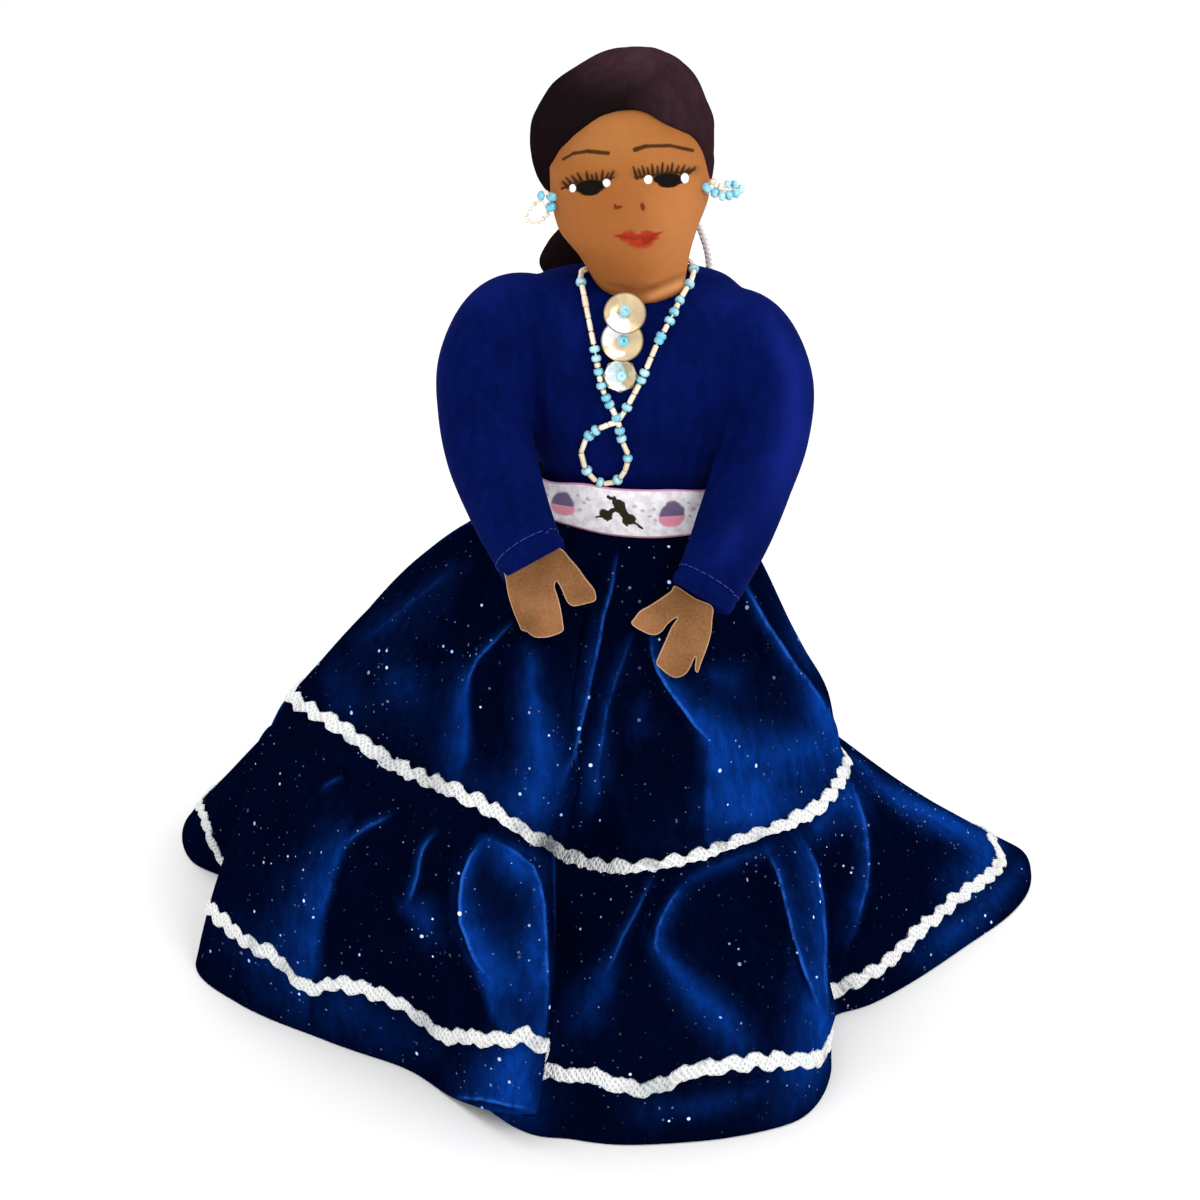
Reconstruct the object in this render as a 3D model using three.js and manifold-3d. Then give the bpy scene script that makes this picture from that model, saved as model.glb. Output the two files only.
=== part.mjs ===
// Cloth doll in a velveteen blouse and a two-tier skirt of sparkling velvet.
// Millimetres, +Z up. The doll faces -Y and stands on the hem of the skirt.
// Its own left hand is on the +X side.
import * as THREE from 'three';
import { mergeVertices } from 'three/addons/utils/BufferGeometryUtils.js';
import Module from 'manifold-3d';

const wasm = await Module();
wasm.setup();

const { PI, abs, cos, sin, sqrt } = Math;
const RADIANS = PI / 180;

// Driving dimensions
const GAP = 0.35; // free space between pieces that touch
const WAIST_HEIGHT = 164; // top edge of the skirt
const WAIST_HALF_WIDTH = 30;
const WAIST_HALF_DEPTH = 20;
const WAIST_SLOPE = -0.08; // the waist is a little higher on the -X side
const CLOTH_WALL = 1.5; // thickness given to the velvet in these solids
const BELT_WIDTH = 16; // five-eighths ribbon
const RIBBON_WALL = 1;
const BRAID_WIDTH = 5; // zigzag braid on the skirt
const BRAID_WALL = 1;
const BRAID_RISE = 19.5; // from the hem up to the middle of the lower braid
const HEAD_FOOT = 229; // where the head ends inside the blouse
const FELT = 2; // thickness of a hand
const SEQUIN_RADIUS = 6.2;
const SEQUIN_WALL = 0.5;
const BIG_BEAD = 3.7; // diameter of a turquoise bead
const SMALL_BEAD = 2.1; // diameter of a metal bead
const BEAD_PITCH = 3.9;
const YARN = 2.2; // diameter of the white yarn

const COLOURS = {
  skin: [0xb9783c, 0.85, 0],
  hair: [0x2a1c20, 0.9, 0],
  velveteen: [0x06134d, 0.8, 0],
  velvet: [0x041030, 0.6, 0],
  braid: [0xc9ccd6, 0.4, 0.5],
  ribbon: [0xe6dfe8, 0.45, 0],
  felt: [0x9a6644, 0.9, 0],
  sequin: [0xd0bc96, 0.3, 0.9],
  turquoise: [0x63bfd6, 0.25, 0],
  beadwork: [0xc9b27a, 0.3, 0.3],
  yarn: [0xe8dcd8, 0.95, 0],
};

function material(name) {
  const [color, roughness, metalness] = COLOURS[name];
  return new THREE.MeshStandardMaterial({ color, roughness, metalness });
}

function vec(x, y, z) {
  return new THREE.Vector3(x, y, z);
}

// Geometry helpers: rings of points become closed solids

function signedVolume(points, faces) {
  let sum = 0;
  for (const [a, b, c] of faces) {
    sum += points[a].dot(points[b].clone().cross(points[c]));
  }
  return sum / 6;
}

function solidFrom(points, faces) {
  const flip = signedVolume(points, faces) < 0;
  const geometry = new THREE.BufferGeometry();
  geometry.setAttribute('position', new THREE.Float32BufferAttribute(points.flatMap((p) => [p.x, p.y, p.z]), 3));
  geometry.setIndex(faces.flatMap(([a, b, c]) => (flip ? [a, c, b] : [a, b, c])));
  return geometry;
}

// Skin over a stack of rings; closed in a loop, or with a cap at both ends.
function loft(rings, { loop = false } = {}) {
  const sides = rings[0].length;
  const points = rings.flat();
  const faces = [];
  const spans = loop ? rings.length : rings.length - 1;
  for (let i = 0; i < spans; i += 1) {
    const low = i * sides;
    const high = ((i + 1) % rings.length) * sides;
    for (let j = 0; j < sides; j += 1) {
      const k = (j + 1) % sides;
      faces.push([low + j, low + k, high + k], [low + j, high + k, high + j]);
    }
  }
  if (!loop) {
    const last = (rings.length - 1) * sides;
    const foot = points.push(middle(rings[0])) - 1;
    const head = points.push(middle(rings.at(-1))) - 1;
    for (let j = 0; j < sides; j += 1) {
      const k = (j + 1) % sides;
      faces.push([foot, k, j], [head, last + j, last + k]);
    }
  }
  return solidFrom(points, faces);
}

function middle(ring) {
  return ring.reduce((sum, p) => sum.add(p), vec(0, 0, 0)).divideScalar(ring.length);
}

function toManifold(geometry) {
  const plain = geometry.clone();
  plain.deleteAttribute('normal');
  plain.deleteAttribute('uv');
  const merged = mergeVertices(plain, 1e-4);
  return new wasm.Manifold(new wasm.Mesh({
    numProp: 3,
    vertProperties: new Float32Array(merged.attributes.position.array),
    triVerts: new Uint32Array(merged.index.array),
  }));
}

function toGeometry(manifold) {
  const mesh = manifold.getMesh();
  const geometry = new THREE.BufferGeometry();
  geometry.setAttribute('position', new THREE.Float32BufferAttribute(mesh.vertProperties, 3));
  geometry.setIndex([...mesh.triVerts]);
  return geometry;
}

function joined(...geometries) {
  return toGeometry(geometries.map(toManifold).reduce((sum, piece) => sum.add(piece)));
}

function cut(geometry, ...tools) {
  return toGeometry(tools.map(toManifold).reduce((rest, tool) => rest.subtract(tool), toManifold(geometry)));
}

// Soft bodies that are stacked level over level

// One level is [height, half width, half depth, centre x, centre y]; in between they blend.
function levelAt(levels, z) {
  const above = levels.findIndex((level) => level[0] >= z);
  if (above < 0) return levels.at(-1);
  if (above === 0) return levels[0];
  const [low, high] = [levels[above - 1], levels[above]];
  const share = (z - low[0]) / (high[0] - low[0]);
  return low.map((value, i) => value + (high[i] - value) * share);
}

// A point of a rounded oblong: power 2 is an ellipse, more is squarer.
function roundPoint(angle, halfWidth, halfDepth, power) {
  const c = cos(angle);
  const s = sin(angle);
  return [
    halfWidth * Math.sign(c) * abs(c) ** (2 / power),
    halfDepth * Math.sign(s) * abs(s) ** (2 / power),
  ];
}

function stack(levels, sides, { power = 2, grow = 0 } = {}) {
  return loft(levels.map(([z, halfWidth, halfDepth, x, y], i) => Array.from({ length: sides }, (_, j) => {
    const [dx, dy] = roundPoint((2 * PI * j) / sides, halfWidth + grow, halfDepth + grow, power);
    const rise = i === 0 ? -grow : grow;
    return vec(x + dx, y + dy, z + rise);
  })));
}

// Head and hair: the chin and the crown lie a little to the +X side of the cheeks

const HEAD_LEVELS = [
  [HEAD_FOOT, 12, 9, 3, 0], [236, 13.4, 10, 2.8, -0.5], [241, 15.2, 12, 2, -1], [248, 18, 15, 0.4, -1],
  [257, 20.8, 17.8, -1.4, -1], [268, 23.4, 19.6, -0.6, -0.5], [280, 24.2, 20, -0.8, 0], [292, 22, 18.5, -0.2, 0.5],
  [300, 17, 14.5, 1, 1], [305, 9, 8, 2.4, 1],
];

const HAIR_LEVELS = [
  [248.5, 15.5, 12.4, 0.4, 8], [256, 20.5, 17, -0.8, 6], [266, 24.6, 21, -0.6, 3], [276, 27, 23.2, -1.2, 1.5],
  [286, 27.6, 23.4, -1.6, 1], [295, 25.2, 22, -0.4, 1], [302, 20, 17.5, 1.4, 1], [306.5, 12.5, 10.5, 2.8, 1],
  [308.6, 4.5, 4, 3, 1],
];

function headSolid(grow = 0) {
  return stack(HEAD_LEVELS, 20, { grow });
}

// The window in the hair that leaves the face free: [x, z] along the hairline.
function faceWindow() {
  const hairline = new THREE.SplineCurve([
    [-30, 264], [-23, 274], [-14.5, 286], [-2, 292.5], [10, 287.5], [20.5, 276], [28, 264],
  ].map(([x, z]) => new THREE.Vector2(x, z)));
  const shape = new THREE.Shape([...hairline.getPoints(12), new THREE.Vector2(30, 230), new THREE.Vector2(-32, 230)]);
  const window = new THREE.ExtrudeGeometry(shape, { depth: 60, bevelEnabled: false });
  return window.rotateX(PI / 2).translate(0, 1, 0);
}

// Below the ears the hair keeps to the back of the head: [y, z] of the space under its edge.
function napeWindow() {
  const shape = new THREE.Shape([[-60, 266], [1, 266], [12, 250], [14, 230], [-60, 230]].map(
    ([y, z]) => new THREE.Vector2(y, z),
  ));
  const window = new THREE.ExtrudeGeometry(shape, { depth: 80, bevelEnabled: false });
  return window.rotateX(PI / 2).rotateZ(PI / 2).translate(-40, 0, 0);
}

function hairSolid() {
  return cut(stack(HAIR_LEVELS, 20), headSolid(2 * GAP), faceWindow(), napeWindow());
}

// The bun at the nape: two lobes with a narrow waist between them.
const BUN_X = -8;
const BUN_Y = 29.5;
const BUN_LEVELS = [
  [227, 12, 5], [229, 17, 7.5], [234, 20.5, 9], [241, 18, 8.5], [248, 12.5, 7], [252, 7.5, 5.2],
  [258, 7.5, 5.2], [262, 12, 6.6], [268, 13.5, 7], [273, 10, 5.5], [275, 6, 3.5],
];
const TIE_SECTION = [[252.5, 8, 5.8], [253, 9.7, 7.3], [257, 9.7, 7.3], [257.5, 8, 5.8]];

function bunRing([z, halfWidth, halfDepth]) {
  const sides = 12;
  return Array.from({ length: sides }, (_, j) => {
    const [dx, dy] = roundPoint((2 * PI * j) / sides, halfWidth, halfDepth, 2);
    return vec(BUN_X + dx, BUN_Y + dy, z);
  });
}

function bunSolid() {
  return cut(loft(BUN_LEVELS.map(bunRing)), stack(HAIR_LEVELS, 20, { grow: GAP }));
}

function tieSolid() {
  return cut(loft(TIE_SECTION.map(bunRing), { loop: true }), stack(HAIR_LEVELS, 20, { grow: GAP }));
}

// The loose end of the yarn leaves the tie, goes over to the +X side and lies on the back.
const YARN_ROUTE = [
  [2.2, 30.4, 255], [6, 31, 256], [10, 31, 256.6], [14, 30.2, 255.6], [17.6, 28.8, 252.8], [20.2, 27.2, 248.8],
  [22.2, 25.6, 244.2], [23.6, 24.2, 239.4], [24.2, 23.2, 234.4], [24.2, 22.8, 229.4], [23.6, 22.8, 224.4],
  [22.4, 22.8, 219.6], [20.8, 22.8, 215], [18.8, 22.8, 210.6], [16.6, 22.8, 206.6],
];

function yarnTail() {
  const route = new THREE.CatmullRomCurve3(YARN_ROUTE.map((p) => vec(...p)));
  const circle = new THREE.Shape(Array.from({ length: 8 }, (_, j) => new THREE.Vector2(
    (YARN / 2) * cos((PI * j) / 4),
    (YARN / 2) * sin((PI * j) / 4),
  )));
  return new THREE.ExtrudeGeometry(circle, { steps: 13, extrudePath: route, bevelEnabled: false });
}

// Blouse: the stuffed body with both sleeves sewn on

const BODY_LEVELS = [
  [156, 20, 12, 0, 0], [159, 26.6, 16.8, 0, 0], [180, 27.4, 17.4, 0, 0], [186, 30.5, 20, 0, 0], [198, 33, 21, 0, 0],
  [212, 35, 21, 0, 0], [224, 36.5, 19.5, 0, 0], [233, 36, 17, 0, 0], [239.5, 30, 14, 0, 0.5], [243, 20, 12.5, 0, 1],
];
const BODY_POWER = 2.3;

// How far forward the body reaches at x and height z.
function frontOf(x, z) {
  const [, halfWidth, halfDepth, , y] = levelAt(BODY_LEVELS, z);
  const across = Math.min(abs(x) / halfWidth, 0.98);
  return y - halfDepth * (1 - across ** BODY_POWER) ** (1 / BODY_POWER);
}

// Each stop of a sleeve: [x, y, z, half width, half thickness]; the last one is the cuff.
const SLEEVES = {
  right: [
    [-18, 0, 227, 11, 12], [-35, -1, 225.5, 16, 14.5], [-43, -5, 214, 15.6, 14], [-44.4, -11, 202, 14.2, 13],
    [-42.2, -19, 190, 13.6, 12.2], [-37, -29, 178, 12.2, 10.6], [-32.5, -36, 170, 11.2, 8.6], [-29, -41.5, 165.2, 10.8, 7],
  ],
  left: [
    [17, 0, 225.5, 11, 12], [32.5, -1, 221, 15.4, 14], [39.8, -6, 208.6, 15.2, 13.6], [40, -13, 195.4, 13.8, 12.8],
    [36, -21, 183, 12.6, 12], [30.5, -30, 171, 12, 10.6], [24.6, -38, 160.5, 10.8, 8.6], [20.4, -43, 154.6, 10.3, 7],
  ],
};

function sleeveSolid(stops) {
  const path = new THREE.CatmullRomCurve3(stops.map(([x, y, z]) => vec(x, y, z)));
  const sides = 12;
  const rings = stops.map(([x, y, z, halfWidth, halfDepth], i) => {
    const along = path.getTangent(i / (stops.length - 1));
    const across = vec(0, 1, 0).cross(along).normalize();
    const through = along.clone().cross(across);
    return Array.from({ length: sides }, (_, j) => {
      const [u, v] = roundPoint((2 * PI * j) / sides, halfWidth, halfDepth, 2);
      return vec(x, y, z).addScaledVector(across, u).addScaledVector(through, v);
    });
  });
  return loft(rings);
}

function blouseSolid() {
  const body = stack(BODY_LEVELS, 24, { power: BODY_POWER });
  const blouse = joined(body, sleeveSolid(SLEEVES.right), sleeveSolid(SLEEVES.left));
  const pocket = 1.6 * GAP;
  return cut(blouse, headSolid(2 * GAP), handSolid('right', pocket), handSolid('left', pocket));
}

// Hands: flat mitten shapes cut from felt, [x, z] as seen from the front
const HANDS = {
  right: {
    wrist: [-29, -42.5, 166],
    slant: 0.39, // how far forward a point comes for each millimetre down
    outline: [
      [-37.3, 168], [-37.2, 161], [-35.2, 153.8], [-33.1, 148.8], [-28.7, 146.7], [-25, 146.9], [-20.8, 148.9],
      [-21.2, 153.5], [-22.8, 162], [-21.2, 160.4], [-18.4, 156.2], [-15.4, 155.8], [-11, 157.2], [-11.9, 160.2],
      [-17.2, 166.6], [-21, 173], [-30, 176],
    ],
  },
  left: {
    wrist: [20.4, -44, 154.6],
    slant: 0.39,
    outline: [
      [11.6, 159.4], [6.9, 156.8], [1.6, 153.6], [-0.3, 150.6], [2.2, 148.6], [6.4, 147.3], [9.8, 149.6],
      [12.9, 151.8], [10.8, 147.2], [7.2, 139.2], [9, 137], [13.3, 135], [16.6, 137], [18.6, 141.4],
      [19, 136.6], [20.8, 139.8], [22.8, 144], [24.4, 151], [27, 160], [19, 167],
    ],
  },
};

function handSolid(side, grow = 0) {
  const { wrist, slant, outline } = HANDS[side];
  const stretch = sqrt(1 + slant ** 2);
  const flat = outline.map(([x, z]) => new THREE.Vector2(x - wrist[0], (z - wrist[2]) * stretch));
  const centre = flat.reduce((sum, p) => sum.add(p), new THREE.Vector2()).divideScalar(flat.length);
  const grown = flat.map((p) => {
    const away = p.clone().sub(centre);
    return p.clone().add(away.setLength(grow));
  });
  const hand = new THREE.ExtrudeGeometry(new THREE.Shape(grown), { depth: FELT + 2 * grow, bevelEnabled: false });
  hand.translate(0, 0, -FELT / 2 - grow);
  return hand.rotateX(PI / 2 - Math.atan(slant)).translate(...wrist);
}

// Skirt: every fold is one column from the waist over the seam to the hem.
// [direction at the waist in degrees, seam x y z, hem x y z, swell of the two tiers],
// going round from +X over the back.
const FOLDS = [
  [-3, [73, 0, 73], [117, -2, 0], 4, 1],
  [8, [74, 11, 70], [137, 20, 0], 3, 0],
  [17, [71, 22, 70], [146, 42, 0], 3, -1],
  [27, [66, 34, 72], [141, 62, 0], 4, -2],
  [40, [60, 46, 75], [106, 70, 0], 6, 2],
  [54, [52, 60, 79], [104, 96, 0], 8, 6],
  [67, [40, 71, 82], [72, 112, 0], 8, 7],
  [80, [22, 79, 84], [42, 108, 0], 8, 5],
  [93, [2, 82, 85], [14, 126, 0], 8, 8],
  [106, [-20, 82, 86], [-24, 118, 0], 8, 6],
  [119, [-43, 77, 87], [-56, 124, 0], 8, 8],
  [131, [-63, 68, 87], [-88, 116, 0], 8, 7],
  [141, [-79, 57, 87], [-106, 96, 0], 8, 4],
  [150, [-92, 45, 88], [-140, 106, 0], 8, 4],
  [159, [-101, 32, 90], [-165, 82, 0], 8, 1],
  [167, [-106, 20, 93], [-159, 50, 0], 8, 0],
  [174, [-108, 9, 97], [-126, 24, 0], 8, 2],
  [182, [-107, -5, 99.5], [-147, -10, 0], 8, 5],
  [195, [-91, -21, 98.6], [-130, -35, 0], 8, 9],
  [207, [-73, -37, 94.6], [-99, -55, 0], 9, 10],
  [219, [-55, -52, 95], [-69, -70, 0], 9, 10],
  [231, [-41, -63, 93.6], [-48, -92, 1], 9, 10],
  [243, [-30, -67, 87], [-32, -104, 8], 9, 9],
  [251, [-24, -53, 72], [-33, -80, 0], 7, 6],
  [260, [-13, -61, 72.4], [-20, -100, 0], 8, 8],
  [271, [1, -66, 75], [-4, -107, 0], 9, 10],
  [284, [18, -62, 75.6], [26, -104, 0], 9, 10],
  [297, [35, -50, 75], [52, -96, 0], 8, 9],
  [310, [50, -38, 73.9], [64, -68, 0], 6, 7],
  [323, [59, -30, 73.6], [56, -46, 0], 5, 4],
  [336, [65, -20, 74.4], [82, -35, 0], 4, 3],
];
const SAMPLES_PER_FOLD = 3;
const TIER_ROWS = 4;

function waistPoint(degrees, out = 0) {
  const x = (WAIST_HALF_WIDTH + out) * cos(degrees * RADIANS);
  const y = (WAIST_HALF_DEPTH + out) * sin(degrees * RADIANS);
  return vec(x, y, WAIST_HEIGHT + WAIST_SLOPE * x);
}

// A point between high and low, swollen outwards, most of all in the upper half.
function swell(high, low, share, puff) {
  const along = low.clone().sub(high);
  const outward = vec(high.x + low.x, high.y + low.y, 0).normalize();
  outward.addScaledVector(along, -outward.dot(along) / along.lengthSq()).normalize();
  return high.clone().addScaledVector(along, share).addScaledVector(outward, puff * sin(PI * share ** 0.75));
}

function foldAt(i) {
  return FOLDS[(i + FOLDS.length) % FOLDS.length];
}

// The seam point that a fold heads for: near the waist it is evened out with its neighbours.
function seamPoint(i, share) {
  const own = vec(...foldAt(i)[1]);
  const even = own.clone().multiplyScalar(2).add(vec(...foldAt(i - 1)[1])).add(vec(...foldAt(i + 1)[1])).divideScalar(4);
  return even.lerp(own, share ** 1.5);
}

function upperPoint(i, share) {
  const [degrees, , , puff] = foldAt(i);
  return swell(waistPoint(degrees), seamPoint(i, share), share, puff);
}

function lowerPoint(i, share) {
  const [, seam, hem, , puff] = foldAt(i);
  return swell(vec(...seam), vec(...hem), share, puff);
}

// The ring of the cloth at one share of a tier's height.
function clothRing(pointOf, share) {
  const curve = new THREE.CatmullRomCurve3(FOLDS.map((_, i) => pointOf(i, share)), true, 'catmullrom', 0.5);
  const count = FOLDS.length * SAMPLES_PER_FOLD;
  return Array.from({ length: count }, (_, j) => curve.getPoint(j / count).max(vec(-Infinity, -Infinity, 0)));
}

// The outward direction at each point of a ring, from its neighbours and the rings around it.
function normalsOf(pointOf, share, flat = false) {
  const step = 0.04;
  const ring = clothRing(pointOf, share);
  const higher = clothRing(pointOf, Math.max(share - step, 0));
  const lower = clothRing(pointOf, Math.min(share + step, 1));
  return ring.map((p, j) => {
    const around = ring[(j + 1) % ring.length].clone().sub(ring.at(j - 1));
    const down = lower[j].clone().sub(higher[j]);
    const normal = down.cross(around);
    if (flat) normal.z = 0;
    return normal.normalize();
  });
}

function offsetRing(pointOf, share, distance, flat = false) {
  const normals = normalsOf(pointOf, share, flat);
  return clothRing(pointOf, share).map((p, j) => p.clone().addScaledVector(normals[j], distance));
}

function tierSolid(pointOf, from, to) {
  const shares = Array.from({ length: TIER_ROWS + 1 }, (_, i) => from + ((to - from) * i) / TIER_ROWS);
  const outer = shares.map((share) => clothRing(pointOf, share));
  const inner = shares.map((share, i) => offsetRing(pointOf, share, -CLOTH_WALL, i === 0 || i === TIER_ROWS));
  return loft([...outer, ...inner.reverse()], { loop: true });
}

function upperTier() {
  return tierSolid(upperPoint, 0, 0.997);
}

function lowerTier() {
  return tierSolid(lowerPoint, 0.003, 1);
}

// Braid over the seam: its section bends where the two tiers meet.
function upperBraid() {
  const half = BRAID_WIDTH / 2 / 100;
  const section = [[upperPoint, 1 - half], [lowerPoint, half]];
  const inside = section.map(([pointOf, share]) => offsetRing(pointOf, share, 2 * GAP));
  const outside = section.map(([pointOf, share]) => offsetRing(pointOf, share, 2 * GAP + BRAID_WALL));
  return loft([...outside, ...inside.reverse()], { loop: true });
}

// The strip of cloth along the hem, twice as high as the braid lies above the edge.
function nearHem(i, share) {
  const [, seam, hem] = foldAt(i);
  return lowerPoint(i, 1 - ((1 - share) * 2 * BRAID_RISE) / vec(...seam).distanceTo(vec(...hem)));
}

function lowerBraid() {
  const shares = [-1, 1].map((side) => 0.5 + (side * BRAID_WIDTH) / 4 / BRAID_RISE);
  const inside = shares.map((share) => offsetRing(nearHem, share, 2 * GAP));
  const outside = shares.map((share) => offsetRing(nearHem, share, 2 * GAP + BRAID_WALL));
  return loft([...outside, ...inside.reverse()], { loop: true });
}

function beltSolid() {
  const sides = 28;
  const band = (rise, out) => Array.from({ length: sides }, (_, j) => {
    const p = waistPoint((360 * j) / sides, out);
    return p.setZ(p.z + rise);
  });
  const top = GAP + BELT_WIDTH;
  return loft([band(GAP, RIBBON_WALL), band(top, RIBBON_WALL), band(top, 0), band(GAP, 0)], { loop: true });
}

// Beads: a string is one skin that swells at every bead

function beadString(curve, closed, sizeOf) {
  const count = Math.round(curve.getLength() / BEAD_PITCH);
  const rings = [];
  for (let i = 0; i < count; i += 1) {
    for (const [part, share] of [[0, 0.55], [0.5, 1]]) {
      const at = (i + part) / count;
      const centre = curve.getPointAt(at);
      const along = curve.getTangentAt(at);
      const across = along.clone().cross(vec(0, 0.96, 0.28)).normalize();
      const through = along.clone().cross(across);
      const radius = (sizeOf(i) / 2) * share;
      rings.push([0, 1, 2, 3].map((j) => centre.clone()
        .addScaledVector(across, radius * cos((PI * j) / 2))
        .addScaledVector(through, radius * sin((PI * j) / 2))));
    }
  }
  return loft(rings, { loop: closed });
}

function everyThirdBig(i) {
  return i % 3 === 0 ? BIG_BEAD : SMALL_BEAD;
}

// A point that hangs on the chest in front of the blouse.
function onChest(x, z, lift = 0) {
  return vec(x, frontOf(x, z) - BIG_BEAD / 2 - GAP * 2 - lift, z);
}

function necklaceSolid() {
  const overSequin = 1.6;
  const right = [
    [-15.5, 241.5], [-14, 237], [-12, 230], [-10.8, 222.4], [-10, 216.5], [-8, 210.5],
  ].map(([x, z]) => onChest(x, z, overSequin));
  const left = [
    [17, 240], [14.4, 236.8], [10.6, 231], [7, 225], [4.2, 218], [0.8, 211.6],
  ].map(([x, z]) => onChest(x, z, overSequin));
  const nape = [
    [22.4, -2, 244.6], [18, 10, 245], [3, 16.6, 244.4], [-13, 11, 245], [-19, -2, 245],
  ].map((p) => vec(...p));
  const knot = onChest(-4, 204, 0.4);
  const strand = new THREE.CatmullRomCurve3([knot, ...left.reverse(), ...nape, ...right, knot.clone().add(vec(-0.8, 0, 0.4))]);
  const pendant = new THREE.CatmullRomCurve3([
    [-4, 203.2], [-9.6, 199.7], [-13.4, 196.4], [-14.7, 191.6], [-13.6, 186.6], [-9.4, 183],
    [-4.2, 183.8], [-1.4, 188], [-0.8, 194.6], [-2, 200.6],
  ].map(([x, z]) => onChest(x, z)), true);
  return joined(beadString(strand, false, everyThirdBig), beadString(pendant, true, everyThirdBig));
}

function earringSolid(centre, upright) {
  const radius = 4.4;
  const loop = new THREE.CatmullRomCurve3(Array.from({ length: 8 }, (_, j) => {
    const angle = (PI * j) / 4;
    const rise = radius * sin(angle);
    return vec(radius * cos(angle), upright ? 0 : rise, upright ? rise : 0.25 * rise).add(centre);
  }), true);
  return beadString(loop, true, (i) => (i % 2 === 0 ? 3 : SMALL_BEAD));
}

// Sequins down the chest, each over the top edge of the next: [x, z, distance from the cloth]
const SEQUIN_PLACES = [[-2.3, 237.2, 3.2], [-2.8, 227.8, 2.3], [-3.4, 217.6, 1.9]];

function sequinFrame([x, z, lift]) {
  const span = 10;
  const lap = 0.13; // the lower edge stands off, so it covers the next sequin
  const lean = (frontOf(x, z) - frontOf(x, z - span)) / span + lap;
  const out = vec(0, -1, lean).normalize();
  return { centre: vec(x, frontOf(x, z) - lift, z), out };
}

function disc(radius, thickness, sides, place, lift) {
  const { centre, out } = sequinFrame(place);
  const piece = new THREE.CylinderGeometry(radius, radius, thickness, sides);
  piece.applyQuaternion(new THREE.Quaternion().setFromUnitVectors(vec(0, 1, 0), out));
  const at = centre.clone().addScaledVector(out, lift);
  return mergeVertices(piece.translate(at.x, at.y, at.z));
}

function sequinSolid(place) {
  return disc(SEQUIN_RADIUS, SEQUIN_WALL, 10, place, 0);
}

function sequinBead(place) {
  const height = 2;
  return disc(BIG_BEAD / 2, height, 6, place, SEQUIN_WALL / 2 + GAP + height / 2);
}

// The doll

const doll = new THREE.Group();

function add(name, geometry, finish) {
  const piece = new THREE.Mesh(geometry, material(finish));
  piece.name = name;
  doll.add(piece);
}

add('head', headSolid(), 'skin');
add('hair', hairSolid(), 'hair');
add('hair_bun', bunSolid(), 'hair');
add('bun_tie', tieSolid(), 'yarn');
add('bun_tie_tail', yarnTail(), 'yarn');
add('blouse', blouseSolid(), 'velveteen');
add('right_hand', handSolid('right'), 'felt');
add('left_hand', handSolid('left'), 'felt');
add('belt', beltSolid(), 'ribbon');
add('skirt_upper_tier', upperTier(), 'velvet');
add('skirt_lower_tier', lowerTier(), 'velvet');
add('seam_braid', upperBraid(), 'braid');
add('hem_braid', lowerBraid(), 'braid');
add('necklace', necklaceSolid(), 'beadwork');
add('right_earring', earringSolid(vec(-29.6, -6, 263.6), true), 'beadwork');
add('left_earring', earringSolid(vec(28.4, -7.4, 268.4), false), 'beadwork');
SEQUIN_PLACES.forEach((place, i) => {
  add(`sequin_${i + 1}`, sequinSolid(place), 'sequin');
  add(`sequin_bead_${i + 1}`, sequinBead(place), 'turquoise');
});

// The origin is under the middle of the whole figure, on the surface it stands on.
const box = new THREE.Box3().setFromObject(doll);
const centre = box.getCenter(vec(0, 0, 0));
doll.position.set(-centre.x, -centre.y, -box.min.z);

const group = new THREE.Group();
group.add(doll);

export default group;
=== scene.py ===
"""Looks of a standing cloth doll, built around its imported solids."""
import math

import bpy
import numpy as np
from mathutils import Matrix, Vector
from mathutils.bvhtree import BVHTree


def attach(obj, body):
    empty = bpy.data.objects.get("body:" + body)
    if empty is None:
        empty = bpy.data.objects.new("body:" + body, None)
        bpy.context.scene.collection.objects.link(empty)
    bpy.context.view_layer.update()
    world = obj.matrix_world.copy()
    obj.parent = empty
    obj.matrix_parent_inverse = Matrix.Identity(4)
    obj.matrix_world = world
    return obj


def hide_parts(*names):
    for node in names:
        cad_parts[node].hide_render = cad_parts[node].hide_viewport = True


bl_info = {
    "name": "Cloth doll",
    "version": (1, 0, 0),
    "blender": (4, 5, 0),
    "location": "View3D > Sidebar > Doll",
    "description": "Builds the cloth, hair, beads and trim of a standing cloth doll around its solids",
    "category": "Add Mesh",
}

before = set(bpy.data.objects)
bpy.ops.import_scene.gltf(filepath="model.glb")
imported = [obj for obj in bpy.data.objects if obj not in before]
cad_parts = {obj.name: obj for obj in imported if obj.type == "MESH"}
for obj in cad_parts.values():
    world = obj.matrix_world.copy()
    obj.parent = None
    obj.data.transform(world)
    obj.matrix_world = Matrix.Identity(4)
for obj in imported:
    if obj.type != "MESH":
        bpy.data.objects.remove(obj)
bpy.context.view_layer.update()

MM = 0.001
# The body axis of the doll, from the middle of its footprint
AXIS = np.array([9.907, -9.5, 0.0])

# Camera: the view is 1200 units wide and high
VIEW = 1200
FOCAL = 2379.0
CAMERA_AT = np.array([-9.6, -677.17, 477.03]) + AXIS
CAMERA_AIM = np.array([-9.6, 0.0, 132.0]) + AXIS


# Small geometry helpers

def mm(points):
    """Points given from the doll's axis in millimetres, as metres in the part's frame."""
    return (np.asarray(points, float) + AXIS) * MM


def camera_axes():
    """Right, up and forward of the camera."""
    forward = CAMERA_AIM - CAMERA_AT
    forward /= np.linalg.norm(forward)
    right = np.cross(forward, [0, 0, 1])
    right /= np.linalg.norm(right)
    return right, np.cross(right, forward), forward


RIGHT, UP, FORWARD = camera_axes()


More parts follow.
